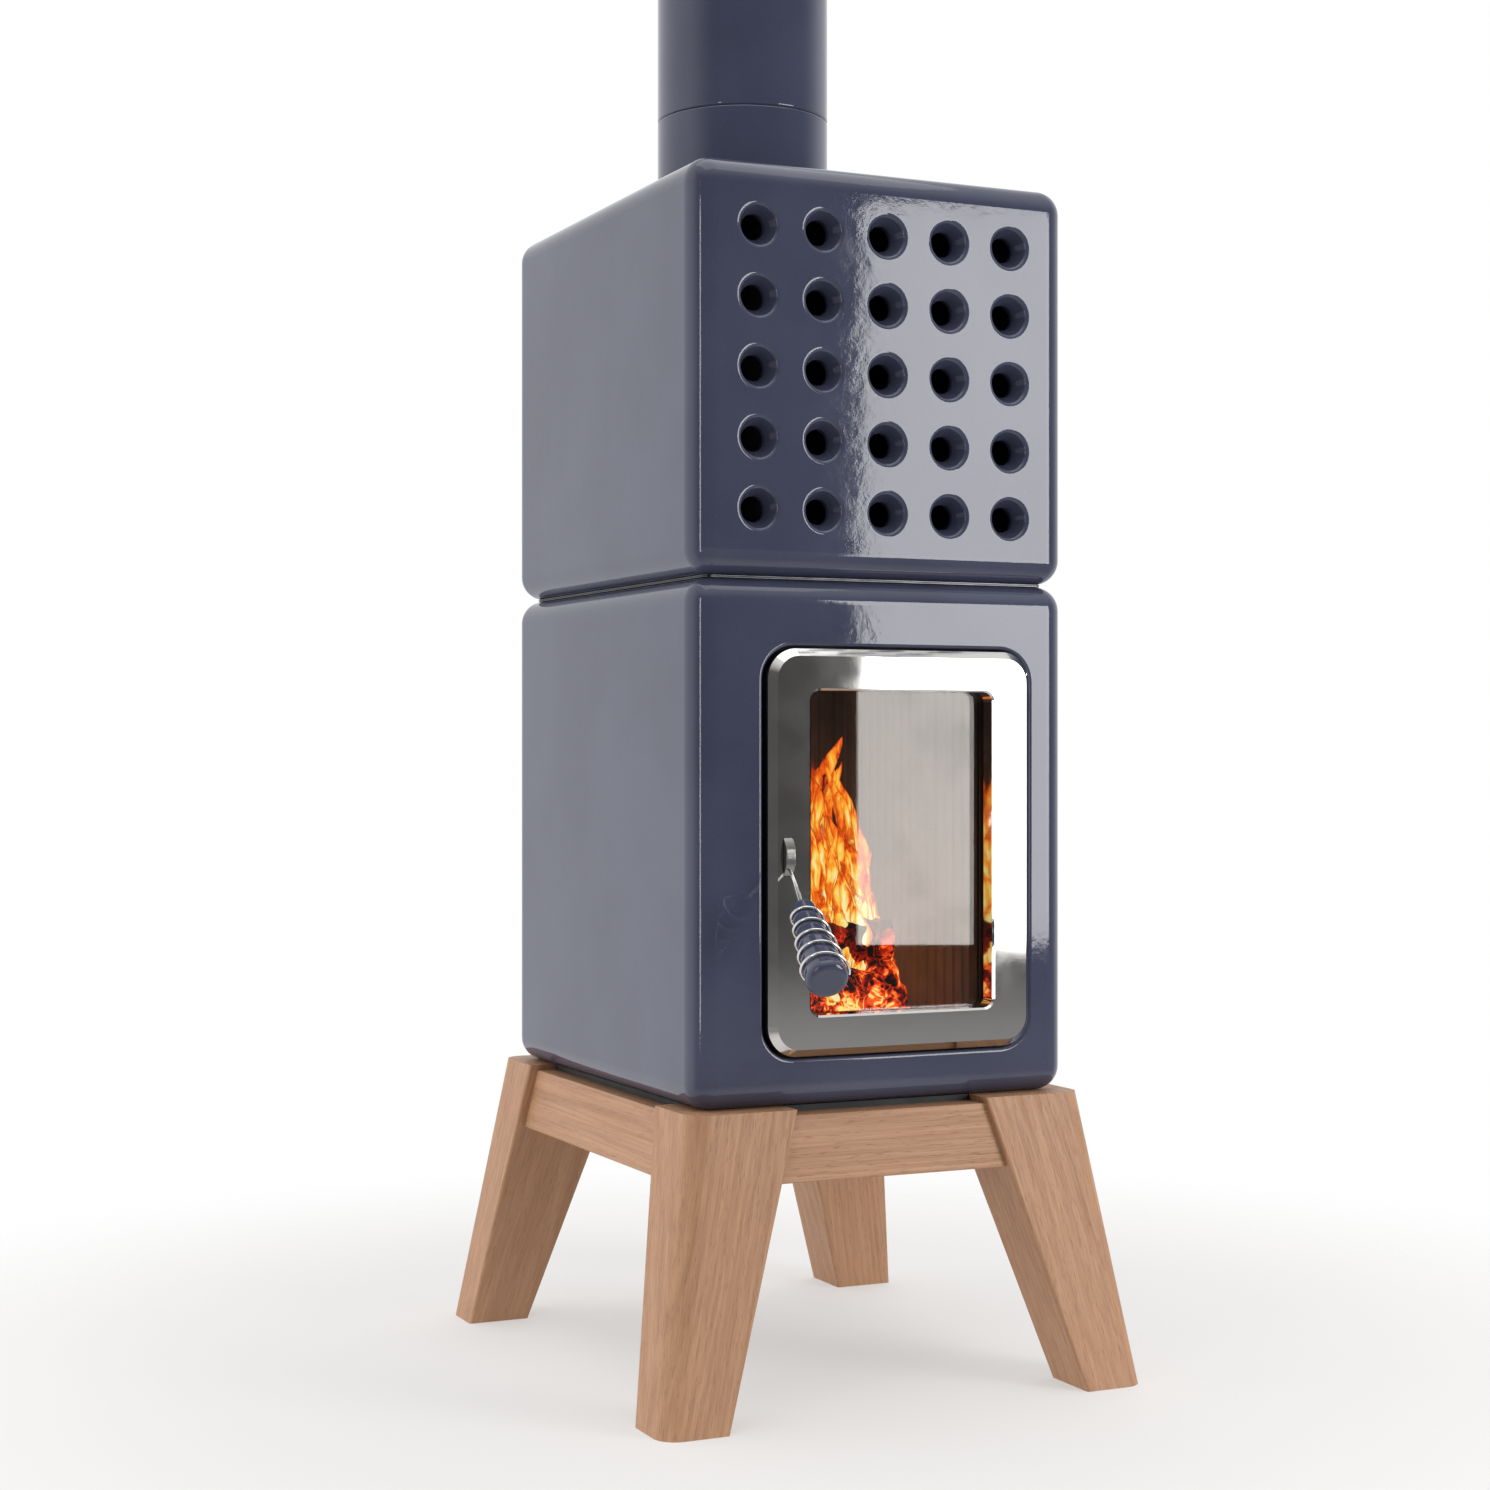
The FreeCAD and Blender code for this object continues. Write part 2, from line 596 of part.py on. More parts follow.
def side_lining(z):
    """The right lining panel between two heights."""
    outer = shell_x(SHELL_GAUGE)[1]
    face = outer - LINING_GAUGE
    y = (LINING_FRONT, SHELL_BACK - SHELL_GAUGE - BACK_LINING_GAUGE)
    slab = block((face, outer), y, z)
    centre = face - FLUTE_RADIUS + FLUTE_DEPTH
    return fluted(slab, y[0], y[1], lambda along: Vector(centre, along, 0))


def back_lining(z):
    """The back lining panel between two heights."""
    x = shell_x(SHELL_GAUGE)
    back = SHELL_BACK - SHELL_GAUGE
    face = back - BACK_LINING_GAUGE
    slab = block(x, (face, back), z)
    clear = shell_x(SHELL_GAUGE + LINING_GAUGE)
    centre = face - FLUTE_RADIUS + FLUTE_DEPTH
    return fluted(slab, clear[0], clear[1], lambda along: Vector(along, centre, 0))


def floor_lining():
    """The floor slab with the ash bay and the grate's rebate."""
    y = (LINING_FRONT, SHELL_BACK - SHELL_GAUGE)
    slab = block(shell_x(SHELL_GAUGE), y, (SHELL_BOTTOM + SHELL_GAUGE, LINING_FLOOR))
    bay = block(ASH_BAY_X, ASH_BAY_Y, (SHELL_BOTTOM, LINING_FLOOR + 1))
    rebate_z = (LINING_FLOOR - GRATE_REBATE, LINING_FLOOR + 1)
    rebate = block(grown(ASH_BAY_X, GRATE_REBATE), grown(ASH_BAY_Y, GRATE_REBATE), rebate_z)
    return slab.cut([bay, rebate])


def grate():
    """The cast grate that lies in the floor's rebate."""
    gap = GRATE_REBATE - 0.5
    x = grown(ASH_BAY_X, gap)
    y = grown(ASH_BAY_Y, gap)
    plate = tray(x, y, 4.0, (LINING_FLOOR - GRATE_REBATE, LINING_FLOOR))
    slots = []
    across = ASH_BAY_X[0] + GRATE_BAR_PITCH
    while across < ASH_BAY_X[1] - GRATE_BAR_PITCH / 2:
        half = GRATE_SLOT / 2
        slot_x = (across - half, across + half)
        for part_y in ((ASH_BAY_Y[0] + 8, AIR_Y - 5), (AIR_Y + 5, ASH_BAY_Y[1] - 8)):
            slots.append(block(slot_x, part_y, (LINING_FLOOR - 10, LINING_FLOOR + 1)))
        across += GRATE_BAR_PITCH
    return plate.cut(slots)


def ash_pan():
    """The shallow pan beside the air hole, under the grate."""
    bottom = SHELL_BOTTOM + SHELL_GAUGE
    y = (ASH_BAY_Y[0] + 2, ASH_BAY_Y[1] - 2)
    top = LINING_FLOOR - GRATE_REBATE - 0.5
    outside = tray(ASH_PAN_X, y, 6.0, (bottom, top))
    hollow = tray(grown(ASH_PAN_X, -ASH_PAN_WALL), grown(y, -ASH_PAN_WALL), 4.5, (bottom + 1.5, top + 1))
    return outside.cut(hollow)


def baffle():
    """The slab over the fire that sends the smoke forwards and up."""
    y = (BAFFLE_FRONT, SHELL_BACK - SHELL_GAUGE)
    return block(shell_x(SHELL_GAUGE), y, (LINING_TOP, LINING_TOP + BAFFLE_GAUGE))


def make_firebox():
    """The steel firebox, its supports, its lining and what lies in it."""
    save("firebox_shell", firebox_shell())
    save("firebox_front_frame", front_frame())
    save("strike_pocket", strike_pocket())
    save("strike_plate", strike_plate())
    levels = {"lower": (LINING_FLOOR, LINING_JOINT), "upper": (LINING_JOINT, LINING_TOP)}
    for level, z in levels.items():
        right = side_lining(z)
        save("lining_right_" + level, right)
        save("lining_left_" + level, right.mirror(Vector(FIREBOX_X, 0, 0), Vector(1, 0, 0)))
        save("lining_back_" + level, back_lining(z))
    save("lining_floor", floor_lining())
    save("baffle_plate", baffle())
    save("grate", grate())
    save("ash_pan", ash_pan())
    supports = []
    for sign in (-1, 1):
        middle = FIREBOX_X + sign * 105.0
        x = (middle - SUPPORT_WIDTH / 2, middle + SUPPORT_WIDTH / 2)
        channel = block(x, SUPPORT_Y, (0.0, SHELL_BOTTOM))
        hollow = block(grown(x, -3.0), grown(SUPPORT_Y, 1.0), (-1.0, SHELL_BOTTOM - 3))
        supports.append(channel.cut(hollow))
    save("firebox_supports", group(supports))


# ---- primary air ----------------------------------------------------------------------
def make_air_control():
    """The air duct, the shutter under the base plate, its guides, rod and knob."""
    duct_centre = Vector(AIR_X, AIR_Y, 0)
    save("air_duct", ring(duct_centre, AIR_HOLE_RADIUS + AIR_DUCT_GAUGE, AIR_HOLE_RADIUS, SHELL_BOTTOM))
    top = RAIL_TOP - SHUTTER_GAP
    x = (AIR_X - SHUTTER_HALF, AIR_X + SHUTTER_HALF)
    y = (AIR_Y - SHUTTER_HALF, AIR_Y + SHUTTER_HALF)
    blade = block(x, y, (top - SHUTTER_GAUGE, top))
    flange = block((x[1] - SHUTTER_GAUGE, x[1]), grown(y, -12.0), (top - SHUTTER_FLANGE, top))
    start = Vector(x[1] - SHUTTER_GAUGE, AIR_Y, ROD_Z)
    pull_rod = rod(start, Vector(KNOB_X[0] + 10, AIR_Y, ROD_Z), ROD_RADIUS)
    save("air_shutter", joined([blade, flange]).cut(pull_rod))
    save("air_rod", pull_rod)
    knob = rod(Vector(KNOB_X[0], AIR_Y, ROD_Z), Vector(KNOB_X[1], AIR_Y, ROD_Z), KNOB_RADIUS)
    save("air_knob", knob.makeFillet(KNOB_EDGE, circles(knob)).cut(pull_rod))
    guides = []
    for sign in (-1, 1):
        inner = AIR_Y + sign * (SHUTTER_HALF + 0.5)
        outer = inner + sign * GUIDE_GAUGE
        lip = inner - sign * 5.0
        bottom = top - SHUTTER_GAUGE - SHUTTER_GAP
        run = (x[0] - 4, x[1] + AIR_TRAVEL + 4)
        upright = block(run, sorted((inner, outer)), (bottom - GUIDE_GAUGE, RAIL_TOP))
        ledge = block(run, sorted((lip, outer)), (bottom - GUIDE_GAUGE, bottom))
        guides.append(joined([upright, ledge]))
    save("shutter_guides", group(guides))


# ---- door -----------------------------------------------------------------------------
def hinge_notch(z):
    """The space in the door that clears a hinge arm through its whole swing."""
    low = z - NOTCH_HALF
    knuckle_room = Part.makeCylinder(KNUCKLE_RADIUS + 0.5, 2 * NOTCH_HALF, Vector(HINGE_X, HINGE_Y, low))
    arm_x = (HINGE_X - ARM_HALF - 0.5, DOOR_X[1] + 4)
    arm_room = block(arm_x, (NOTCH_FRONT, DOOR_BACK + 4), (low, low + 2 * NOTCH_HALF))
    return joined([knuckle_room, arm_room])


def hinge_pin(z):
    """One hinge pin, held in the door's bosses above and below the knuckle."""
    reach = NOTCH_HALF + BOSS_HEIGHT - 2
    return Part.makeCylinder(HINGE_PIN_RADIUS, 2 * reach, Vector(HINGE_X, HINGE_Y, z - reach))


def door_frame():
    """The polished door casting: a flat ring with chamfered edges, hollow at the back."""
    casting = panel(DOOR_X, DOOR_Z, DOOR_CORNER, (DOOR_FRONT, DOOR_BACK))
    rim = front_edges(casting, DOOR_FRONT, lambda x, z: True)
    casting = casting.makeChamfer(DOOR_CHAMFER, rim)
    window = panel(WINDOW_X, WINDOW_Z, WINDOW_CORNER, (DOOR_FRONT - 1, DOOR_BACK + 1))
    casting = casting.cut(window)
    wide = grown(WINDOW_X, 2.0)
    tall = grown(WINDOW_Z, 2.0)
    rim = front_edges(casting, DOOR_FRONT, lambda x, z: wide[0] < x < wide[1] and tall[0] < z < tall[1])
    casting = casting.makeChamfer(WINDOW_CHAMFER, rim)

    hollow_y = (DOOR_FRONT + DOOR_SKIN, DOOR_BACK + 1)
    hollow = panel(grown(DOOR_X, -DOOR_SKIN), grown(DOOR_Z, -DOOR_SKIN), DOOR_CORNER - DOOR_SKIN, hollow_y)
    core_corner = WINDOW_CORNER + DOOR_SKIN
    core_y = (DOOR_FRONT, DOOR_BACK + 2)
    core = panel(grown(WINDOW_X, DOOR_SKIN), grown(WINDOW_Z, DOOR_SKIN), core_corner, core_y)
    seat_lap = GLASS_LAP + 1
    seat = panel(grown(WINDOW_X, seat_lap), grown(WINDOW_Z, seat_lap), 4.0, (GLASS_SEAT, DOOR_BACK + 1))
    casting = casting.cut([hollow.cut(core), seat])

    bosses = []
    for z in HINGE_Z:
        for low in (z - NOTCH_HALF - BOSS_HEIGHT, z + NOTCH_HALF):
            bosses.append(block((138.0, DOOR_X[1] - 4), (-8.0, 8.0), (low, low + BOSS_HEIGHT)))
    casting = joined([casting] + bosses)
    slot_x = (LATCH_X - SLOT_HALF_WIDTH, LATCH_X + SLOT_HALF_WIDTH)
    slot_z = (LATCH_Z - SLOT_HALF_HEIGHT, LATCH_Z + SLOT_HALF_HEIGHT)
    tools = [block(slot_x, (DOOR_FRONT - 1, DOOR_FRONT + DOOR_SKIN + 1), slot_z)]
    tools.append(wheel_section(WHEEL_RADIUS + WHEEL_CLEARANCE, slot_x[0], 2 * SLOT_HALF_WIDTH))
    tools.extend(hinge_notch(z) for z in HINGE_Z)
    tools.extend(hinge_pin(z) for z in HINGE_Z)
    return casting.cut(tools)


def door_ring(outer_lap, inner_lap, corner, y):
    """A flat ring round the window; the laps are measured outwards from its edge."""
    outer = panel(grown(WINDOW_X, outer_lap), grown(WINDOW_Z, outer_lap), corner, y)
    inner = panel(grown(WINDOW_X, inner_lap), grown(WINDOW_Z, inner_lap), WINDOW_CORNER, (y[0] - 1, y[1] + 1))
    return outer.cut(inner)


def back_screw_places():
    """Where the back frame's screws stand, in the hollow of the casting."""
    places = []
    for x in (DOOR_X[0] + 14, FIREBOX_X, DOOR_X[1] - 20):
        for z in (DOOR_Z[0] + 17, DOOR_Z[1] - 17):
            places.append((x, z))
    places.append((DOOR_X[1] - 24, (DOOR_Z[0] + DOOR_Z[1]) / 2))
    places.append((DOOR_X[0] + 14, LATCH_Z + 90))
    return places


def back_screw(x, z):
    """A long pan-head screw that runs through the hollow to the casting's front skin."""
    shank = rod(Vector(x, DOOR_FRONT + DOOR_SKIN, z), Vector(x, DOOR_BACK + BACK_FRAME_GAUGE, z), 2.5)
    head_y = DOOR_BACK + BACK_FRAME_GAUGE
    head = rod(Vector(x, head_y, z), Vector(x, head_y + 2.4, z), 4.5)
    return joined([shank, head])


def back_frame():
    """The black steel ring that closes the door's back and holds the glass."""
    y = (DOOR_BACK, DOOR_BACK + BACK_FRAME_GAUGE)
    plate = panel(grown(DOOR_X, -2.5), grown(DOOR_Z, -2.5), DOOR_CORNER - 2.5, y)
    window = panel(grown(WINDOW_X, 0.5), grown(WINDOW_Z, 0.5), WINDOW_CORNER, (y[0] - 1, y[1] + 1))
    slot_x, slot_z = latch_slot_limits()
    slot = block((slot_x[0] + 2, slot_x[1]), (y[0] - 1, y[1] + 1), slot_z)
    tools = [window, slot]
    tools.extend(hinge_notch(z) for z in HINGE_Z)
    tools.extend(back_screw(x, z) for x, z in back_screw_places())
    return plate.cut(tools)


def latch_cheeks():
    """Two folded brackets that hold the latch axle behind the door's left stile."""
    z = (LATCH_Z - 12, LATCH_Z + 12)
    slot_x, _ = latch_slot_limits()
    left = slot_x[0] + 2
    right = slot_x[1]
    cheeks = []
    for face, away in ((left, -1), (right, 1)):
        upright_x = sorted((face, face + away * CHEEK_GAUGE))
        foot_x = sorted((face, face + away * CHEEK_FOOT))
        upright = block(upright_x, (0.0, DOOR_BACK), z)
        foot = block(foot_x, (DOOR_BACK - CHEEK_GAUGE, DOOR_BACK), z)
        cheeks.append(joined([upright, foot]))
    return cheeks


def make_door():
    """Everything that swings with the door, apart from the latch and handle."""
    save("door_frame", door_frame())
    glass_y = GLASS_SEAT + GASKET_GAUGE
    glass_limits = (glass_y, glass_y + GLASS_GAUGE)
    glass = panel(grown(WINDOW_X, GLASS_LAP), grown(WINDOW_Z, GLASS_LAP), 4.0, glass_limits)
    save("door_glass", glass)
    save("glass_gasket_front", door_ring(GLASS_LAP, 1.0, 4.0, (GLASS_SEAT, glass_y)))
    save("glass_gasket_back", door_ring(GLASS_LAP, 1.0, 4.0, (glass_y + GLASS_GAUGE, DOOR_BACK)))
    save("door_back_frame", back_frame())
    save("door_back_screws", group([back_screw(x, z) for x, z in back_screw_places()]))
    seal_y = (DOOR_BACK + BACK_FRAME_GAUGE, SEAL_FACE)
    save("door_seal", door_ring(SEAL_SETBACK, SEAL_SETBACK - SEAL_WIDTH, WINDOW_CORNER + 8, seal_y))
    save("hinge_pins", group([hinge_pin(z) for z in HINGE_Z]))
    axle = rod(Vector(-124.0, LATCH_Y, LATCH_Z), Vector(-100.0, LATCH_Y, LATCH_Z), AXLE_RADIUS)
    save("latch_axle", axle)
    save("latch_cheeks", group([cheek.cut(axle) for cheek in latch_cheeks()]))


def make_hinge_brackets():
    """The two brackets on the firebox's front frame that carry the door's pins."""
    brackets = []
    for z in HINGE_Z:
        span = (z - KNUCKLE_HALF, z + KNUCKLE_HALF)
        knuckle = Part.makeCylinder(KNUCKLE_RADIUS, 2 * KNUCKLE_HALF, Vector(HINGE_X, HINGE_Y, span[0]))
        plate_front = SHELL_FRONT - FRONT_FRAME_GAUGE
        arm = block((HINGE_X - ARM_HALF, HINGE_X + ARM_HALF), (HINGE_Y, plate_front), span)
        foot = block((HINGE_X - ARM_HALF, shell_x(3)[1]), (plate_front - 2.6, plate_front), span)
        bore = Part.makeCylinder(HINGE_PIN_RADIUS + HINGE_CLEARANCE, 60, Vector(HINGE_X, HINGE_Y, z - 30))
        brackets.append(joined([knuckle, arm, foot]).cut(bore))
    save("hinge_bracket_lower", brackets[0])
    save("hinge_bracket_upper", brackets[1])


# ---- latch and handle -----------------------------------------------------------------
def along_handle(distance):
    """The point on the handle's axis at a distance from its root."""
    return ROOT_POINT + HANDLE_DIRECTION.normalize() * distance


def handle_wires():
    """Two steel wires that leave the wheel together and spread towards the grip."""
    sideways = HANDLE_DIRECTION.cross(Vector(0, 0, 1)).normalize()
    start = along_handle(-6.0)
    end = along_handle(GRIP_START + 10.0)
    return joined([rod(start, end + sideways * sign * WIRE_SPREAD, WIRE_RADIUS) for sign in (-1, 1)])


def wheel_section(radius, x0, width):
    """A disc on the latch axle's line."""
    return Part.makeCylinder(radius, width, Vector(x0, LATCH_Y, LATCH_Z), Vector(1, 0, 0))


def latch_wheel(wires):
    """The polished wheel whose rim shows in the door's slot."""
    wheel = wheel_section(WHEEL_RADIUS, LATCH_X - WHEEL_HALF, 2 * WHEEL_HALF)
    wheel = wheel.makeFillet(WHEEL_EDGE, circles(wheel))
    bore = wheel_section(AXLE_RADIUS + AXLE_CLEARANCE, LATCH_X - 20, 40)
    return wheel.cut([bore, wires])


def latch_cam():
    """The hook plate on the wheel's side that wedges under the strike plate."""
    x0 = LATCH_X + WHEEL_HALF
    hub = wheel_section(14.0, x0, CAM_GAUGE)
    start, end = (math.radians(a) for a in CAM_ANGLES)
    centre = Vector(x0, LATCH_Y, LATCH_Z)

    def at(radius, angle):
        return centre + Vector(0, radius * math.cos(angle), radius * math.sin(angle))

    arc = Part.Arc(at(CAM_RADIUS, start), at(CAM_RADIUS, (start + end) / 2), at(CAM_RADIUS, end)).toShape()
    sides = [Part.makeLine(centre, at(CAM_RADIUS, start)), arc, Part.makeLine(at(CAM_RADIUS, end), centre)]
    finger = Part.Face(Part.Wire(sides)).extrude(Vector(CAM_GAUGE, 0, 0))
    bore = wheel_section(AXLE_RADIUS + AXLE_CLEARANCE, LATCH_X - 20, 40)
    return joined([hub, finger]).cut(bore)


def placed_on_handle(shape):
    """Turns a shape built along +Z so that it lies along the handle from its root."""
    turned = shape.copy()
    turned.Placement = Placement(ROOT_POINT, Rotation(Vector(0, 0, 1), HANDLE_DIRECTION))
    return turned


def grip_radius(distance):
    """The grip's radius at a distance from the handle's root."""
    share = (distance - GRIP_START) / (GRIP_END - GRIP_START)
    return GRIP_RADII[0] + share * (GRIP_RADII[1] - GRIP_RADII[0])


def handle_grip():
    """The glazed ceramic cone with a softly rounded end."""
    cone = Part.makeCone(GRIP_RADII[0], GRIP_RADII[1], GRIP_END - GRIP_START, Vector(0, 0, GRIP_START))
    near = [e for e in circles(cone) if e.CenterOfMass.z < GRIP_START + 1]
    cone = cone.makeFillet(GRIP_NOSE, near)
    far = [e for e in circles(cone) if e.CenterOfMass.z > GRIP_END - 1]
    return placed_on_handle(cone.makeFillet(GRIP_CAP, far))


def handle_coil():
    """The rings of polished wire that keep the hand off the hot grip."""
    rings = []
    for turn in range(COIL_TURNS):
        height = COIL_START + turn * COIL_PITCH
        radius = grip_radius(height) + COIL_WIRE_RADIUS + 0.15
        rings.append(Part.makeTorus(radius, COIL_WIRE_RADIUS, Vector(0, 0, height)))
    return placed_on_handle(group(rings))


def make_handle():
    """The latch wheel, its cam, and the handle that turns them."""
    wires = handle_wires()
    save("latch_wheel", latch_wheel(wires))
    save("latch_cam", latch_cam())
    save("handle_wires", wires)
    save("handle_grip", handle_grip().cut(wires))
    save("handle_coil", handle_coil())


def main():
    """Builds every piece and writes it to parts/."""
    os.makedirs("parts", exist_ok=True)
    make_stand()
    make_ceramic()
    make_flue()
    make_firebox()
    make_air_control()
    make_door()
    make_hinge_brackets()
    make_handle()


main()
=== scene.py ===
"""Wood burning stove: the looks of its pieces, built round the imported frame."""

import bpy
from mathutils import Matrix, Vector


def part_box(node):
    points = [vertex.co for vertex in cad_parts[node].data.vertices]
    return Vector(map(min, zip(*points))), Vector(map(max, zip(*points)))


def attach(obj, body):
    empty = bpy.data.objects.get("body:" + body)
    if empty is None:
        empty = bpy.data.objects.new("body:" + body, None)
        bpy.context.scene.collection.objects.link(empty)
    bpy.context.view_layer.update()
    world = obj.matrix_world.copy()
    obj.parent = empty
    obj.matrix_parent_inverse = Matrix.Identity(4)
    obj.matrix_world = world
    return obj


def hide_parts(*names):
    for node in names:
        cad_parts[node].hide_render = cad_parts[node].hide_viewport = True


bl_info = {
    "name": "Wood Burning Stove",
    "version": (1, 0, 0),
    "blender": (4, 5, 0),
    "location": "3D View > Sidebar > Stove",
    "description": "Builds the looks of a ceramic wood burning stove round its packed frame",
    "category": "Object",
}

import math
import random

import bmesh
import bpy
from bpy.props import FloatProperty, FloatVectorProperty, IntProperty, PointerProperty
from mathutils import Matrix, Vector
from mathutils import noise as field

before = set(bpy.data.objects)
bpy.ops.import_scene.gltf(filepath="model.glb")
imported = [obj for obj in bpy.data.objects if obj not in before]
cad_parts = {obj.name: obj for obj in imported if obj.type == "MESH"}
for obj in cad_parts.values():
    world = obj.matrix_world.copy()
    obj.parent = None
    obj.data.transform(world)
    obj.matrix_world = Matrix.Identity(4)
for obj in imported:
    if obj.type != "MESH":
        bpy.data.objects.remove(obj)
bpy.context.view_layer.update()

BODY_FIXED = "stove"
BODY_HANDLE = "handle"
MERGE_DISTANCE = 1e-5
GOLDEN_ANGLE = 2.39996          # spreads the flames evenly round the fire

# Logs of each layer: its lift in log radii, heading in degrees, log length, and each log's shift and skew.
LOG_LAYERS = (
    (0.0, 0.0, 0.15, ((-0.045, 0.0), (0.0, 8.0), (0.044, -6.0))),
    (1.75, 90.0, 0.12, ((-0.035, 10.0), (0.04, -12.0))),
)

SOFTBOX_PLACE = (1.634, -2.195, 0.98)
SOFTBOX_FACING = (-0.4206, 0.9073, 0.0)
SOFTBOX_SIZE = (1.1, 1.454)
STRIP_PLACE = (-2.6, -1.7, 0.9)
STRIP_TARGET = (0.0, -0.2, 0.75)
STRIP_SIZE = (0.25, 1.7)
SIDE_PLACE = (-2.4, 0.5, 0.5)
SIDE_TARGET = (0.0, 0.1, 0.3)
SIDE_SIZE = (1.6, 1.2)
TOP_PLACE = (0.0, -0.3, 3.4)
TOP_SIZE = (2.6, 2.6)
FLOOR_RADIUS = 4.5
FLOOR_FADE = (0.55, 1.35)       # where the floor starts to fade, and where it is gone

WOOD_LEGS = ("leg_front_left", "leg_front_right", "leg_back_left", "leg_back_right")
WOOD_RAILS_ACROSS = ("rail_front", "rail_back")
WOOD_RAILS_DEEP = ("rail_left", "rail_right")
LININGS = tuple(
    f"lining_{side}_{row}" for side in ("left", "right", "back") for row in ("lower", "upper")
)


# ---------------------------------------------------------------- node trees


class Tree:
    """A node tree being built: adds nodes, and sets or joins their inputs by name."""

    def __init__(self, tree):
        self.tree = tree

    def add(self, kind, inputs=None, **settings):
        """A new node, with its settings set first and then its inputs."""
        node = self.tree.nodes.new(kind)
        for name, value in settings.items():
            setattr(node, name, value)
        for name, value in (inputs or {}).items():
            self.fill(node.inputs[name], value)
        return node

    def fill(self, socket, value):
        """Joins a socket to another, or gives it a value."""
        if isinstance(value, bpy.types.NodeSocket):
            self.tree.links.new(value, socket)
        else:
            socket.default_value = value

    def maths(self, operation, first, second=0.0, third=0.0):
        """The result of one arithmetic step."""
        node = self.add("ShaderNodeMath", operation=operation)
        for socket, value in zip(node.inputs, (first, second, third)):
            self.fill(socket, value)
        return node.outputs[0]

    def blend(self, factor, first, second, mode="MIX"):
        """A mix of two colours."""
        node = self.add("ShaderNodeMix", data_type="RGBA", blend_type=mode)
        self.fill(node.inputs[0], factor)
        self.fill(node.inputs[6], first)
        self.fill(node.inputs[7], second)
        return node.outputs[2]

    def ramp(self, factor, *stops):
        """A colour ramp through (place, colour) stops."""
        node = self.add("ShaderNodeValToRGB")
        elements = node.color_ramp.elements
        while len(elements) < len(stops):
            elements.new(0.5)
        for element, (place, colour) in zip(elements, stops):
            element.position = place
            element.color = colour if len(colour) == 4 else (*colour, 1.0)
        self.fill(node.inputs[0], factor)
        return node.outputs[0]

    def range(self, value, low, high, to_low=0.0, to_high=1.0):
        """A value moved from one range to another, with soft ends."""
        node = self.add("ShaderNodeMapRange", interpolation_type="SMOOTHSTEP")
        for name, number in (
            ("Value", value), ("From Min", low), ("From Max", high), ("To Min", to_low), ("To Max", to_high),
        ):
            self.fill(node.inputs[name], number)
        return node.outputs[0]

    def place(self, turn=(0.0, 0.0, 0.0), scale=(1.0, 1.0, 1.0), shift=(0.0, 0.0, 0.0)):
        """Object coordinates, moved, turned and scaled."""
        start = self.add("ShaderNodeTexCoord").outputs["Object"]
        node = self.add(
            "ShaderNodeMapping",
            {"Vector": start, "Location": shift, "Rotation": turn, "Scale": scale},
        )
        return node.outputs[0]

    def noise(self, where, scale, detail=2.0, roughness=0.5, distortion=0.0):
        """Soft noise, as a value."""
        node = self.add(
            "ShaderNodeTexNoise",
            {
                "Vector": where, "Scale": scale, "Detail": detail,
                "Roughness": roughness, "Distortion": distortion,
            },
        )
        return node.outputs[0]

    def bump(self, height, distance, strength=1.0, below=None):
        """A bump, laid over another one if there is one below."""
        node = self.add("ShaderNodeBump", {"Height": height, "Distance": distance, "Strength": strength})
        if below is not None:
            self.fill(node.inputs["Normal"], below)
        return node.outputs[0]

    def finish(self, shader):
        """The shader becomes the surface."""
        self.add("ShaderNodeOutputMaterial", {"Surface": shader})


def new_material(name):
    """An empty node material and its tree."""
    material = bpy.data.materials.new(name)
    material.use_nodes = True
    material.node_tree.nodes.clear()
    return material, Tree(material.node_tree)


def principled(tree, **inputs):
    """A Principled shader, with inputs named in lower case."""
    named = {key.replace("_", " ").title(): value for key, value in inputs.items()}
    if "Ior" in named:
        named["IOR"] = named.pop("Ior")
    return tree.add("ShaderNodeBsdfPrincipled", named).outputs[0]


# ----------------------------------------------------------------- materials


def glaze(name, deep, pale):
    """Glossy ceramic glaze: it drifts in depth, ripples slightly and has fine orange peel."""
    material, tree = new_material(name)
    here = tree.place()
    drift = tree.noise(here, 7.0, 3.0)
    colour = tree.ramp(drift, (0.35, deep), (0.65, pale))
    fleck = tree.range(tree.noise(here, 900.0, 1.0), 0.66, 0.75, 0.0, 0.25)
    colour = tree.blend(fleck, colour, (*[2.2 * c for c in pale[:3]], 1.0))
    ripple = tree.bump(tree.noise(here, 7.0, 2.0), 0.0003)
    wave = tree.bump(tree.noise(here, 70.0, 4.0), 0.00007, 1.0, ripple)
    peel = tree.bump(tree.noise(here, 600.0, 2.0), 0.00001, 1.0, wave)
    rough = tree.range(tree.noise(here, 40.0, 3.0), 0.3, 0.7, 0.03, 0.06)
    tree.finish(principled(tree, base_color=colour, roughness=rough, ior=1.52, normal=peel))
    return material


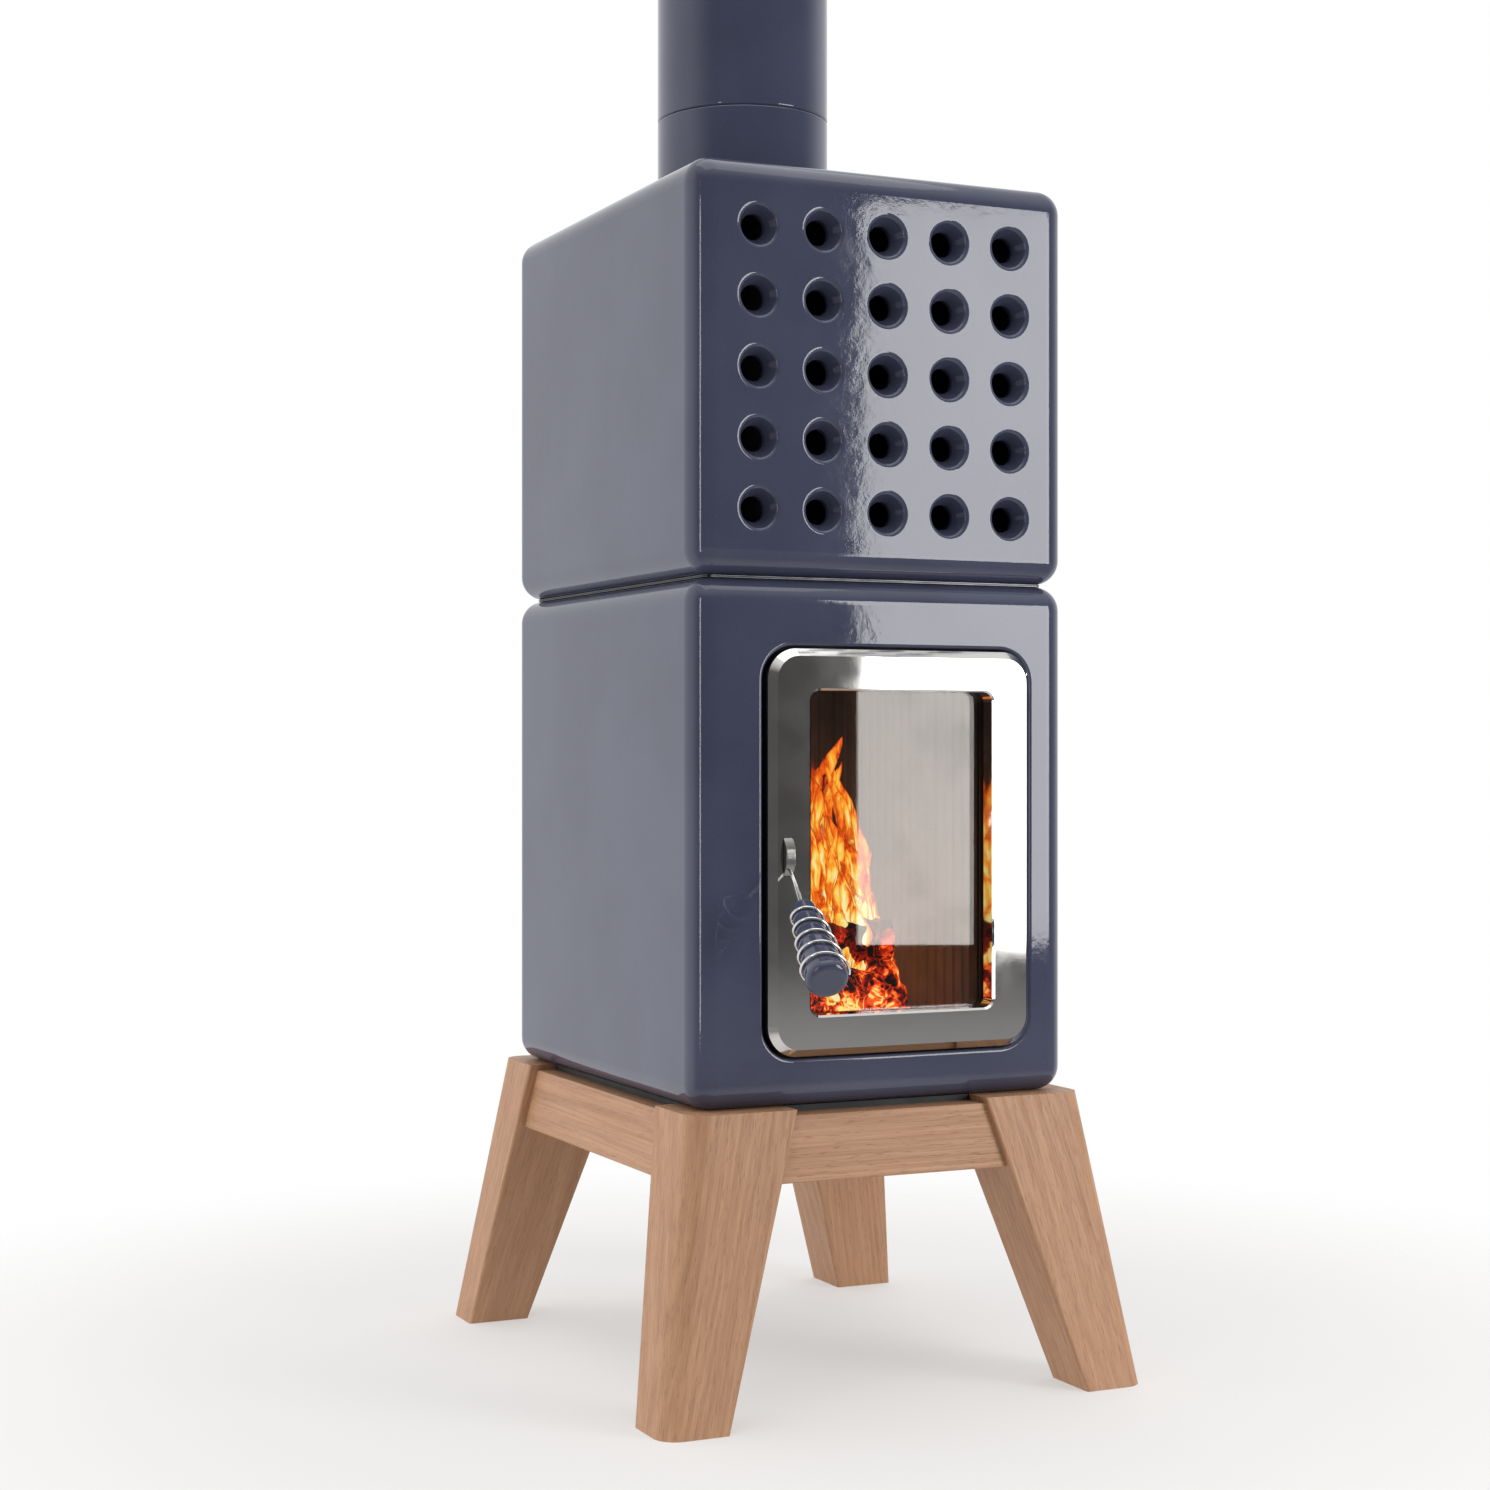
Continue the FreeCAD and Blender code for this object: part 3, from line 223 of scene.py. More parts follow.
def wood(name, light, dark, axis, seed):
    """Oiled hardwood whose grain runs along axis: growth rings, fibres and short open pores."""
    material, tree = new_material(name)
    turn = Vector(axis).to_track_quat("Z", "Y").inverted().to_euler()
    random.seed(seed)
    shift = (random.uniform(0.2, 0.4), random.uniform(0.12, 0.3), random.uniform(0.0, 3.0))
    grain = tree.place(turn=turn)
    long_wave = tree.add(
        "ShaderNodeMapping", {"Vector": grain, "Scale": (9.0, 9.0, 1.6), "Location": shift}
    ).outputs[0]
    sway = tree.noise(long_wave, 1.0, 2.0)
    split = tree.add("ShaderNodeSeparateXYZ", {"Vector": grain})
    across = tree.maths("ADD", split.outputs[0], shift[0])
    deep = tree.maths("ADD", split.outputs[1], shift[1])
    squares = tree.maths("ADD", tree.maths("POWER", across, 2.0), tree.maths("POWER", deep, 2.0))
    radius = tree.maths("SQRT", squares)
    radius = tree.maths("ADD", radius, tree.maths("MULTIPLY", sway, 0.05))
    rings = tree.maths("SINE", tree.maths("MULTIPLY", radius, 2.0 * math.pi / 0.0085))
    rings = tree.range(rings, -1.0, 1.0)
    fibre_place = tree.add("ShaderNodeMapping", {"Vector": grain, "Scale": (520.0, 520.0, 7.0)}).outputs[0]
    fibre = tree.noise(fibre_place, 1.0, 3.0, 0.6)
    streak_place = tree.add("ShaderNodeMapping", {"Vector": grain, "Scale": (95.0, 95.0, 3.0)}).outputs[0]
    streak = tree.noise(streak_place, 1.0, 2.0)
    pore_place = tree.add("ShaderNodeMapping", {"Vector": grain, "Scale": (900.0, 900.0, 60.0)}).outputs[0]
    pore = tree.range(tree.noise(pore_place, 1.0, 1.0), 0.62, 0.72)
    shade = tree.maths("ADD", tree.maths("MULTIPLY", rings, 0.09), tree.maths("MULTIPLY", fibre, 0.6))
    shade = tree.maths("ADD", shade, tree.maths("MULTIPLY", streak, 0.4))
    colour = tree.ramp(shade, (0.38, light), (0.78, dark))
    colour = tree.blend(tree.maths("MULTIPLY", pore, 0.35), colour, (*[0.45 * c for c in dark[:3]], 1.0))
    relief = tree.bump(tree.maths("SUBTRACT", fibre, pore), 0.00012)
    rough = tree.range(fibre, 0.3, 0.7, 0.42, 0.58)
    tree.finish(principled(tree, base_color=colour, roughness=rough, normal=relief, ior=1.45))
    return material


def polished(name, colour, roughness):
    """Polished metal with very fine wipe marks."""
    material, tree = new_material(name)
    marks = tree.noise(tree.place(), 35.0, 4.0)
    rough = tree.range(marks, 0.3, 0.7, 0.85 * roughness, 1.25 * roughness)
    relief = tree.bump(tree.noise(tree.place(), 12.0, 2.0), 0.00006)
    tree.finish(principled(tree, base_color=colour, metallic=1.0, roughness=rough, normal=relief))
    return material


def painted_steel(name, colour):
    """Matt heat-proof paint with a fine grain and slight wear."""
    material, tree = new_material(name)
    here = tree.place()
    drift = tree.noise(here, 22.0, 4.0)
    tone = tree.ramp(drift, (0.35, colour), (0.75, [min(1.0, 1.9 * c) for c in colour[:3]]))
    relief = tree.bump(tree.noise(here, 1400.0, 2.0), 0.00004)
    rough = tree.range(drift, 0.3, 0.7, 0.48, 0.68)
    tree.finish(principled(tree, base_color=tone, roughness=rough, normal=relief))
    return material


def raw_steel(name, colour):
    """Plain rolled steel with drawn lines and a few darker spots."""
    material, tree = new_material(name)
    lines = tree.noise(tree.place(scale=(30.0, 900.0, 900.0)), 1.0, 2.0)
    spots = tree.noise(tree.place(), 60.0, 4.0)
    tone = tree.ramp(spots, (0.3, [0.7 * c for c in colour[:3]]), (0.6, colour))
    rough = tree.range(lines, 0.3, 0.7, 0.25, 0.42)
    relief = tree.bump(lines, 0.00002)
    tree.finish(principled(tree, base_color=tone, metallic=1.0, roughness=rough, normal=relief))
    return material


def stove_glass(name, colour):
    """Clear glass-ceramic: seen through, with a sharp reflection and a faint haze of soot."""
    material, tree = new_material(name)
    clear = tree.add("ShaderNodeBsdfTransparent", {"Color": colour}).outputs[0]
    gloss = tree.add("ShaderNodeBsdfGlossy", {"Color": (1.0, 0.99, 0.97, 1.0), "Roughness": 0.015}).outputs[0]
    mirror = tree.add("ShaderNodeFresnel", {"IOR": 1.4}).outputs[0]
    pane = tree.add("ShaderNodeMixShader", {"Fac": mirror})
    tree.fill(pane.inputs[1], clear)
    tree.fill(pane.inputs[2], gloss)
    soot = tree.add("ShaderNodeBsdfDiffuse", {"Color": (0.05, 0.045, 0.04, 1.0)}).outputs[0]
    haze = tree.range(tree.noise(tree.place(), 14.0, 5.0), 0.5, 0.8, 0.0, 0.12)
    whole = tree.add("ShaderNodeMixShader", {"Fac": haze})
    tree.fill(whole.inputs[1], pane.outputs[0])
    tree.fill(whole.inputs[2], soot)
    tree.finish(whole.outputs[0])
    return material


def refractory(name, clean, sooty):
    """Porous firebox board, browned by smoke, darker in patches."""
    material, tree = new_material(name)
    here = tree.place()
    stain = tree.noise(here, 9.0, 4.0)
    streaks = tree.noise(tree.place(scale=(60.0, 60.0, 5.0)), 1.0, 3.0)
    mix = tree.maths("ADD", tree.maths("MULTIPLY", stain, 0.86), tree.maths("MULTIPLY", streaks, 0.14))
    colour = tree.ramp(mix, (0.35, clean), (0.65, sooty))
    grit = tree.bump(tree.noise(here, 700.0, 3.0), 0.0002)
    tree.finish(principled(tree, base_color=colour, roughness=0.92, normal=grit))
    return material


def cast_iron(name, colour):
    """Sand-cast iron, dull and pitted."""
    material, tree = new_material(name)
    here = tree.place()
    pits = tree.noise(here, 500.0, 4.0, 0.7)
    rust = tree.range(tree.noise(here, 30.0, 4.0), 0.55, 0.75, 0.0, 0.5)
    tone = tree.blend(rust, colour, (0.09, 0.035, 0.015, 1.0))
    tree.finish(
        principled(tree, base_color=tone, metallic=0.4, roughness=0.7, normal=tree.bump(pits, 0.0003))
    )
    return material


def fibre_cloth(name, colour):
    """Woven glass fibre: crossed threads, dull, with dust."""
    material, tree = new_material(name)
    threads = tree.add("ShaderNodeTexBrick", {
        "Vector": tree.place(), "Scale": 420.0, "Mortar Size": 0.06,
        "Color1": colour, "Color2": (*[1.5 * c for c in colour[:3]], 1.0), "Mortar": (0.01, 0.01, 0.01, 1.0),
    })
    fuzz = tree.noise(tree.place(), 1500.0, 2.0)
    relief = tree.bump(threads.outputs["Fac"], 0.0002, 1.0, tree.bump(fuzz, 0.0001))
    tree.finish(principled(tree, base_color=threads.outputs["Color"], roughness=0.95, normal=relief))
    return material


def charred_log(name, hot_height):
    """Burning wood: black char veined with fire, redder and brighter low down."""
    material, tree = new_material(name)
    here = tree.place()
    veins = tree.noise(here, 62.0, 5.0, 0.62, 0.8)
    vein = tree.range(tree.maths("ABSOLUTE", tree.maths("SUBTRACT", veins, 0.5)), 0.0, 0.07, 1.0, 0.0)
    patch = tree.range(tree.noise(here, 30.0, 4.0, 0.6), 0.42, 0.62)
    height = tree.add("ShaderNodeSeparateXYZ", {"Vector": here}).outputs[2]
    low = tree.range(height, hot_height - 0.05, hot_height + 0.06, 1.0, 0.0)
    heat = tree.maths("ADD", tree.maths("MULTIPLY", vein, 0.42), tree.maths("MULTIPLY", patch, 0.62))
    glow = tree.ramp(
        tree.maths("MULTIPLY", heat, low),
        (0.1, (0.0, 0.0, 0.0)), (0.3, (0.16, 0.004, 0.0)), (0.55, (0.62, 0.03, 0.003)),
        (0.78, (1.0, 0.2, 0.015)), (1.0, (1.0, 0.72, 0.22)),
    )
    ash = tree.range(tree.noise(here, 120.0, 4.0), 0.52, 0.75, 0.0, 0.35)
    char = tree.blend(ash, (0.012, 0.01, 0.009, 1.0), (0.14, 0.12, 0.11, 1.0))
    relief = tree.bump(veins, 0.006)
    tree.finish(principled(
        tree, base_color=char, roughness=0.9, normal=relief, emission_color=glow, emission_strength=1.5,
    ))
    material.cycles.emission_sampling = "NONE"
    return material


def flame_sheet(name):
    """A tongue of flame: its heat comes from an attribute, torn into licks by noise that rises."""
    material, tree = new_material(name)
    heat = tree.add("ShaderNodeAttribute", attribute_name="fire_heat").outputs["Fac"]
    here = tree.place()
    curl = tree.add("ShaderNodeTexNoise", {"Vector": here, "Scale": 22.0, "Detail": 2.0}).outputs["Color"]
    swept = tree.add(
        "ShaderNodeVectorMath", {0: curl, 1: (0.022, 0.022, 0.022), 2: here}, operation="MULTIPLY_ADD"
    )
    rise = tree.add("ShaderNodeMapping", {"Vector": swept.outputs[0], "Scale": (85.0, 85.0, 15.0)}).outputs[0]
    licks = tree.noise(rise, 1.0, 4.0, 0.6, 0.6)
    torn = tree.range(licks, 0.3, 0.68, 0.12, 1.6)
    power = tree.maths("MULTIPLY", heat, torn)
    colour = tree.ramp(
        power,
        (0.08, (0.05, 0.002, 0.0)), (0.24, (0.42, 0.022, 0.002)), (0.42, (0.9, 0.13, 0.008)),
        (0.6, (1.0, 0.36, 0.025)), (0.78, (1.0, 0.68, 0.1)), (0.97, (1.0, 0.93, 0.5)),
    )
    fire = tree.add("ShaderNodeEmission", {"Color": colour, "Strength": 1.15}).outputs[0]
    clear = tree.add("ShaderNodeBsdfTransparent").outputs[0]
    body = tree.range(power, 0.12, 0.34)
    mixed = tree.add("ShaderNodeMixShader", {"Fac": body})
    tree.fill(mixed.inputs[1], clear)
    tree.fill(mixed.inputs[2], fire)
    tree.finish(mixed.outputs[0])
    material.cycles.emission_sampling = "NONE"
    return material


# -------------------------------------------------------------------- meshes


def new_piece(name, mesh, material, body):
    """A finished mesh as a piece that rides on a body."""
    mesh.materials.clear()
    mesh.materials.append(material)
    piece = bpy.data.objects.new(name, mesh)
    bpy.context.scene.collection.objects.link(piece)
    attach(piece, body)
    return piece


def paint_node(node, material):
    """A carried-over CAD node gets its finish."""
    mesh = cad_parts[node].data
    mesh.materials.clear()
    mesh.materials.append(material)


def mesh_from(bm, name):
    """A bmesh as a smooth mesh whose faces point outwards."""
    bmesh.ops.remove_doubles(bm, verts=bm.verts, dist=MERGE_DISTANCE)
    bmesh.ops.recalc_face_normals(bm, faces=bm.faces)
    for face in bm.faces:
        face.smooth = True
    mesh = bpy.data.meshes.new(name)
    bm.to_mesh(mesh)
    bm.free()
    return mesh


def plain_mesh(holder, tree, name, **inputs):
    """Runs a Geometry Nodes tree on an object, and returns its result as a plain mesh."""
    modifier = holder.modifiers.new("Build", "NODES")
    modifier.node_group = tree
    sockets = {item.name: item.identifier for item in tree.interface.items_tree if item.in_out == "INPUT"}
    for key, value in inputs.items():
        modifier[sockets[key.replace("_", " ").capitalize()]] = value
    graph = bpy.context.evaluated_depsgraph_get()
    mesh = bpy.data.meshes.new_from_object(
        holder.evaluated_get(graph), preserve_all_data_layers=True, depsgraph=graph
    )
    mesh.name = name
    holder.modifiers.remove(modifier)
    bpy.data.objects.remove(holder)
    return mesh


def empty_holder(name):
    """An object with an empty mesh, for a tree that needs none."""
    holder = bpy.data.objects.new(name, bpy.data.meshes.new(name))
    bpy.context.scene.collection.objects.link(holder)
    return holder


# --------------------------------------------------------------- properties


def colour_property(name, description, default):
    """A colour with its default."""
    return FloatVectorProperty(
        name=name, description=description, default=default, subtype="COLOR", size=4, min=0.0, max=1.0
    )


def length_property(name, description, default):
    """A length in metres with its default."""
    return FloatProperty(name=name, description=description, default=default, unit="LENGTH")


def power_property(name, description, default):
    """A light's power in watts with its default."""
    return FloatProperty(name=name, description=description, default=default, unit="POWER")


class StoveColours(bpy.types.PropertyGroup):
    """Colours of the stove's finishes."""

    glaze_deep: colour_property("Deep glaze", "Glaze where it lies thick", (0.054, 0.059, 0.100, 1.0))
    glaze_pale: colour_property("Pale glaze", "Glaze where it lies thin", (0.067, 0.073, 0.121, 1.0))
    wood_light: colour_property("Light grain", "Wood between its growth rings", (0.505, 0.279, 0.156, 1.0))
    wood_dark: colour_property("Dark grain", "Wood in its growth rings", (0.34, 0.172, 0.092, 1.0))
    frame_metal: colour_property("Door frame", "Polished metal of the door", (0.66, 0.645, 0.625, 1.0))
    wheel_metal: colour_property("Latch wheel", "Turned metal of the latch wheel", (0.27, 0.262, 0.25, 1.0))
    wire_metal: colour_property("Handle wire", "Polished wire of the handle", (0.78, 0.77, 0.75, 1.0))
    paint: colour_property("Heat-proof paint", "Matt paint on the steel plates", (0.014, 0.014, 0.015, 1.0))
    steel: colour_property("Plain steel", "Steel of the small hardware", (0.45, 0.45, 0.46, 1.0))
    board: colour_property("Firebox board", "Refractory board, clean", (0.25, 0.222, 0.203, 1.0))
    board_soot: colour_property("Sooty board", "Refractory board, smoked", (0.13, 0.115, 0.107, 1.0))
    rope: colour_property("Rope seal", "Graphite glass fibre", (0.06, 0.06, 0.06, 1.0))
    iron: colour_property("Grate", "Cast iron", (0.05, 0.045, 0.042, 1.0))


class HandleSizes(bpy.types.PropertyGroup):
    """Sizes of the wire wound round the handle's grip."""

    root: FloatVectorProperty(
        name="Root", description="Where the handle's axis meets the latch wheel", subtype="TRANSLATION",
        unit="LENGTH", default=(-0.1129, -0.209, 0.5168),
    )
    direction: FloatVectorProperty(
        name="Direction", description="Way that the handle points", subtype="DIRECTION",
        default=(-0.177, -0.821, -0.543),
    )
    wire_radius: length_property("Wire radius", "Radius of the wound wire", 0.0014)
    first_turn: length_property("First turn", "Distance from the root to the first turn", 0.0615)
    last_turn: length_property("Last turn", "Distance from the root to the last turn", 0.1585)
    first_radius: length_property("First radius", "Radius of the first turn", 0.0134)
    last_radius: length_property("Last radius", "Radius of the last turn", 0.0218)
    turns: FloatProperty(name="Turns", description="Turns of wire round the grip", default=5.0, min=1.0)


class FireSizes(bpy.types.PropertyGroup):
    """Sizes of the fire in the firebox."""

    seed: IntProperty(name="Seed", description="Order of the random draws", default=7)
    half_width: length_property("Half width", "Half of the fire's width", 0.08)
    half_depth: length_property("Half depth", "Half of the fire's depth", 0.06)
    peak: length_property("Peak", "Height of the tallest flame above the firebox floor", 0.31)
    edge: length_property("Edge", "Height of the flames at the sides of the fire", 0.11)
    tongues: IntProperty(name="Tongues", description="Number of tongues of flame", default=40, min=1)
    licks: IntProperty(name="Licks", description="Number of small flames among the embers", default=16, min=0)
    log_radius: length_property("Log radius", "Radius of a split log", 0.026)
    coals: IntProperty(
        name="Coals", description="Number of glowing coals per square metre", default=7000, min=1
    )
    coal_size: length_property("Coal size", "Size of a coal", 0.011)


class StudioSizes(bpy.types.PropertyGroup):
    """Camera, floor and lights."""

    camera_place: FloatVectorProperty(
        name="Camera place", description="Where the camera stands", subtype="TRANSLATION", unit="LENGTH",
        default=(-1.1752, -2.3978, 0.6313),
    )
    camera_turn: FloatProperty(
        name="Camera turn", description="Turn of the camera about the vertical", unit="ROTATION",
        default=math.radians(-24.87),
    )
    lens: FloatProperty(name="Lens", description="Focal length in millimetres", default=61.91, min=1.0)
    shift: FloatProperty(name="Shift", description="Upward shift of the lens", default=0.0044)
    softbox: power_property("Softbox", "Power of the softbox in front", 40.0)
    strip: power_property("Strip light", "Power of the strip light", 9.0)
    side: power_property("Side light", "Power of the fill from the left", 15.0)
    top: power_property("Top light", "Power of the light above", 22.0)
    behind: FloatProperty(name="Behind", description="Brightness of the studio behind", default=1.0)
    before: FloatProperty(name="Before", description="Brightness of the studio in front", default=0.08)
    below: FloatProperty(name="Below", description="Brightness of the studio's far floor", default=0.34)


# ---------------------------------------------------------------- operators


class StoveOperator(bpy.types.Operator):
    """Builds one group of the stove's pieces."""

    bl_options = {"REGISTER", "UNDO"}

    def execute(self, context):
        self.build(context.scene)
        return {"FINISHED"}


class STOVE_OT_stand(StoveOperator):
    """Gives every leg and rail of the wooden stand its own grain"""

    bl_idname = "stove.stand"
    bl_label = "Wooden stand"

    def build(self, scene):
        colours = scene.stove_colours
        for seed, node in enumerate(WOOD_LEGS + WOOD_RAILS_ACROSS + WOOD_RAILS_DEEP):
            if node in WOOD_RAILS_ACROSS:
                axis = Vector((1.0, 0.0, 0.0))
            elif node in WOOD_RAILS_DEEP:
                axis = Vector((0.0, 1.0, 0.0))
            else:
                axis = self.leg_axis(node)
            paint_node(node, wood(f"wood_{node}", colours.wood_light, colours.wood_dark, axis, seed))

    def leg_axis(self, node):
        """From the middle of a leg's foot to the middle of its top."""
        low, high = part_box(node)
        reach = 0.1 * (high.z - low.z)
        corners = [v.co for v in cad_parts[node].data.vertices]
        foot = [c for c in corners if c.z < low.z + 0.001]
        head = [c for c in corners if c.z > high.z - reach]
        return sum(head, Vector()) / len(head) - sum(foot, Vector()) / len(foot)


class STOVE_OT_ceramic(StoveOperator):
    """Glazes the two modules and the flue"""

    bl_idname = "stove.ceramic"
    bl_label = "Glazed ceramic"

    def build(self, scene):
        colours = scene.stove_colours
        body_glaze = glaze("body_glaze", colours.glaze_deep, colours.glaze_pale)
        paint_node("lower_ceramic_body", body_glaze)
        paint_node("upper_ceramic_body", body_glaze)
        flue_glaze = glaze("flue_glaze", colours.glaze_deep, colours.glaze_pale)
        paint_node("flue_tube_lower", flue_glaze)
        paint_node("flue_tube_upper", flue_glaze)


class STOVE_OT_plates(StoveOperator):
    """Finishes the steel plates, pipes and brackets, and the mat in the seam"""

    bl_idname = "stove.plates"
    bl_label = "Steel plates"

    def build(self, scene):
        colours = scene.stove_colours
        paint = painted_steel("heat_proof_paint", colours.paint)
        for node in (
            "base_plate", "firebox_shell", "firebox_front_frame", "firebox_supports", "strike_pocket",
            "air_shutter", "shutter_guides", "air_duct", "smoke_pipe", "smoke_collar",
            "hinge_bracket_lower", "hinge_bracket_upper", "hinge_pins", "ash_pan",
        ):
            paint_node(node, paint)
        steel = raw_steel("plain_steel", colours.steel)
        for node in (
            "base_plate_screws", "latch_axle", "latch_cheeks", "latch_cam", "strike_plate",
            "flue_centring_rings", "air_rod",
        ):
            paint_node(node, steel)
        # The seam plates get steel far darker than real steel: painted shade for the seam between the two
        # modules.
        dull = raw_steel("seam_steel_painted_shade", (0.11, 0.11, 0.12, 1.0))
        paint_node("seam_plate_lower", dull)
        paint_node("seam_plate_upper", dull)
        paint_node("seam_mat", fibre_cloth("seam_fibre", (0.05, 0.05, 0.055, 1.0)))
        paint_node("air_knob", polished("knob_metal", colours.frame_metal, 0.12))


class STOVE_OT_door(StoveOperator):
    """Finishes the door's frame, glass, gaskets and back frame"""

    bl_idname = "stove.door"
    bl_label = "Door"

    def build(self, scene):
        colours = scene.stove_colours
        paint_node("door_frame", polished("door_metal", colours.frame_metal, 0.05))
        paint_node("door_glass", stove_glass("stove_glass", (0.93, 0.9, 0.87, 1.0)))
        paint_node("door_back_frame", painted_steel("back_frame_paint", colours.paint))
        cloth = fibre_cloth("gasket_fibre", colours.rope)
        for node in ("glass_gasket_front", "glass_gasket_back", "door_seal"):
            paint_node(node, cloth)
        paint_node("door_back_screws", raw_steel("screw_steel", colours.steel))


class STOVE_OT_handle(StoveOperator):
    """Finishes the latch wheel and the grip, and winds the wire round the grip"""

    bl_idname = "stove.handle"
    bl_label = "Handle"

    def build(self, scene):
        colours = scene.stove_colours
        sizes = scene.stove_handle
        wire = polished("handle_wire", colours.wire_metal, 0.1)
        paint_node("latch_wheel", polished("wheel_metal", colours.wheel_metal, 0.2))
        paint_node("handle_wires", wire)
        paint_node("handle_grip", glaze("grip_glaze", colours.glaze_deep, colours.glaze_pale))
        mesh = plain_mesh(
            empty_holder("coil_holder"), self.coil_tree(wire), "wound_wire",
            turns=sizes.turns, first_radius=sizes.first_radius, last_radius=sizes.last_radius,
            length=sizes.last_turn - sizes.first_turn, wire_radius=sizes.wire_radius,
        )
        along = Vector(sizes.direction).normalized()
        turn = along.to_track_quat("Z", "Y").to_matrix().to_4x4()
        start = Vector(sizes.root) + along * sizes.first_turn
        mesh.transform(Matrix.Translation(start) @ turn)
        coil = new_piece("wound_wire", mesh, wire, BODY_HANDLE)
        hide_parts("handle_coil")

    def coil_tree(self, wire):
        """A wire wound in a widening helix about Z."""
        group = bpy.data.node_groups.new("wound_wire_tree", "GeometryNodeTree")
        for name, default in (
            ("Turns", 5.0), ("First radius", 0.013), ("Last radius", 0.021),
            ("Length", 0.1), ("Wire radius", 0.0014),
        ):
            socket = group.interface.new_socket(name, in_out="INPUT", socket_type="NodeSocketFloat")
            socket.default_value = default
        group.interface.new_socket("Geometry", in_out="OUTPUT", socket_type="NodeSocketGeometry")
        tree = Tree(group)
        given = tree.add("NodeGroupInput").outputs
        spiral = tree.add("GeometryNodeCurveSpiral", {
            "Resolution": 56, "Rotations": given["Turns"], "Start Radius": given["First radius"],
            "End Radius": given["Last radius"], "Height": given["Length"],
        })
        profile = tree.add(
            "GeometryNodeCurvePrimitiveCircle", {"Resolution": 14, "Radius": given["Wire radius"]}
        )
        tube = tree.add("GeometryNodeCurveToMesh", {
            "Curve": spiral.outputs[0], "Profile Curve": profile.outputs[0], "Fill Caps": True,
        })
        smooth = tree.add("GeometryNodeSetShadeSmooth", {"Geometry": tube.outputs[0]})
        real = tree.add("GeometryNodeRealizeInstances", {"Geometry": smooth.outputs[0]})
        done = tree.add("GeometryNodeSetMaterial", {"Geometry": real.outputs[0], "Material": wire})
        tree.add("NodeGroupOutput", {"Geometry": done.outputs[0]})
        return group


class STOVE_OT_firebox(StoveOperator):
    """Finishes the fluted linings, the floor, the baffle and the grate"""

    bl_idname = "stove.firebox"
    bl_label = "Firebox"

    def build(self, scene):
        colours = scene.stove_colours
        board = refractory("smoked_board", colours.board, colours.board_soot)
        for node in LININGS + ("lining_floor", "baffle_plate"):
            paint_node(node, board)
        paint_node("grate", cast_iron("grate_iron", colours.iron))


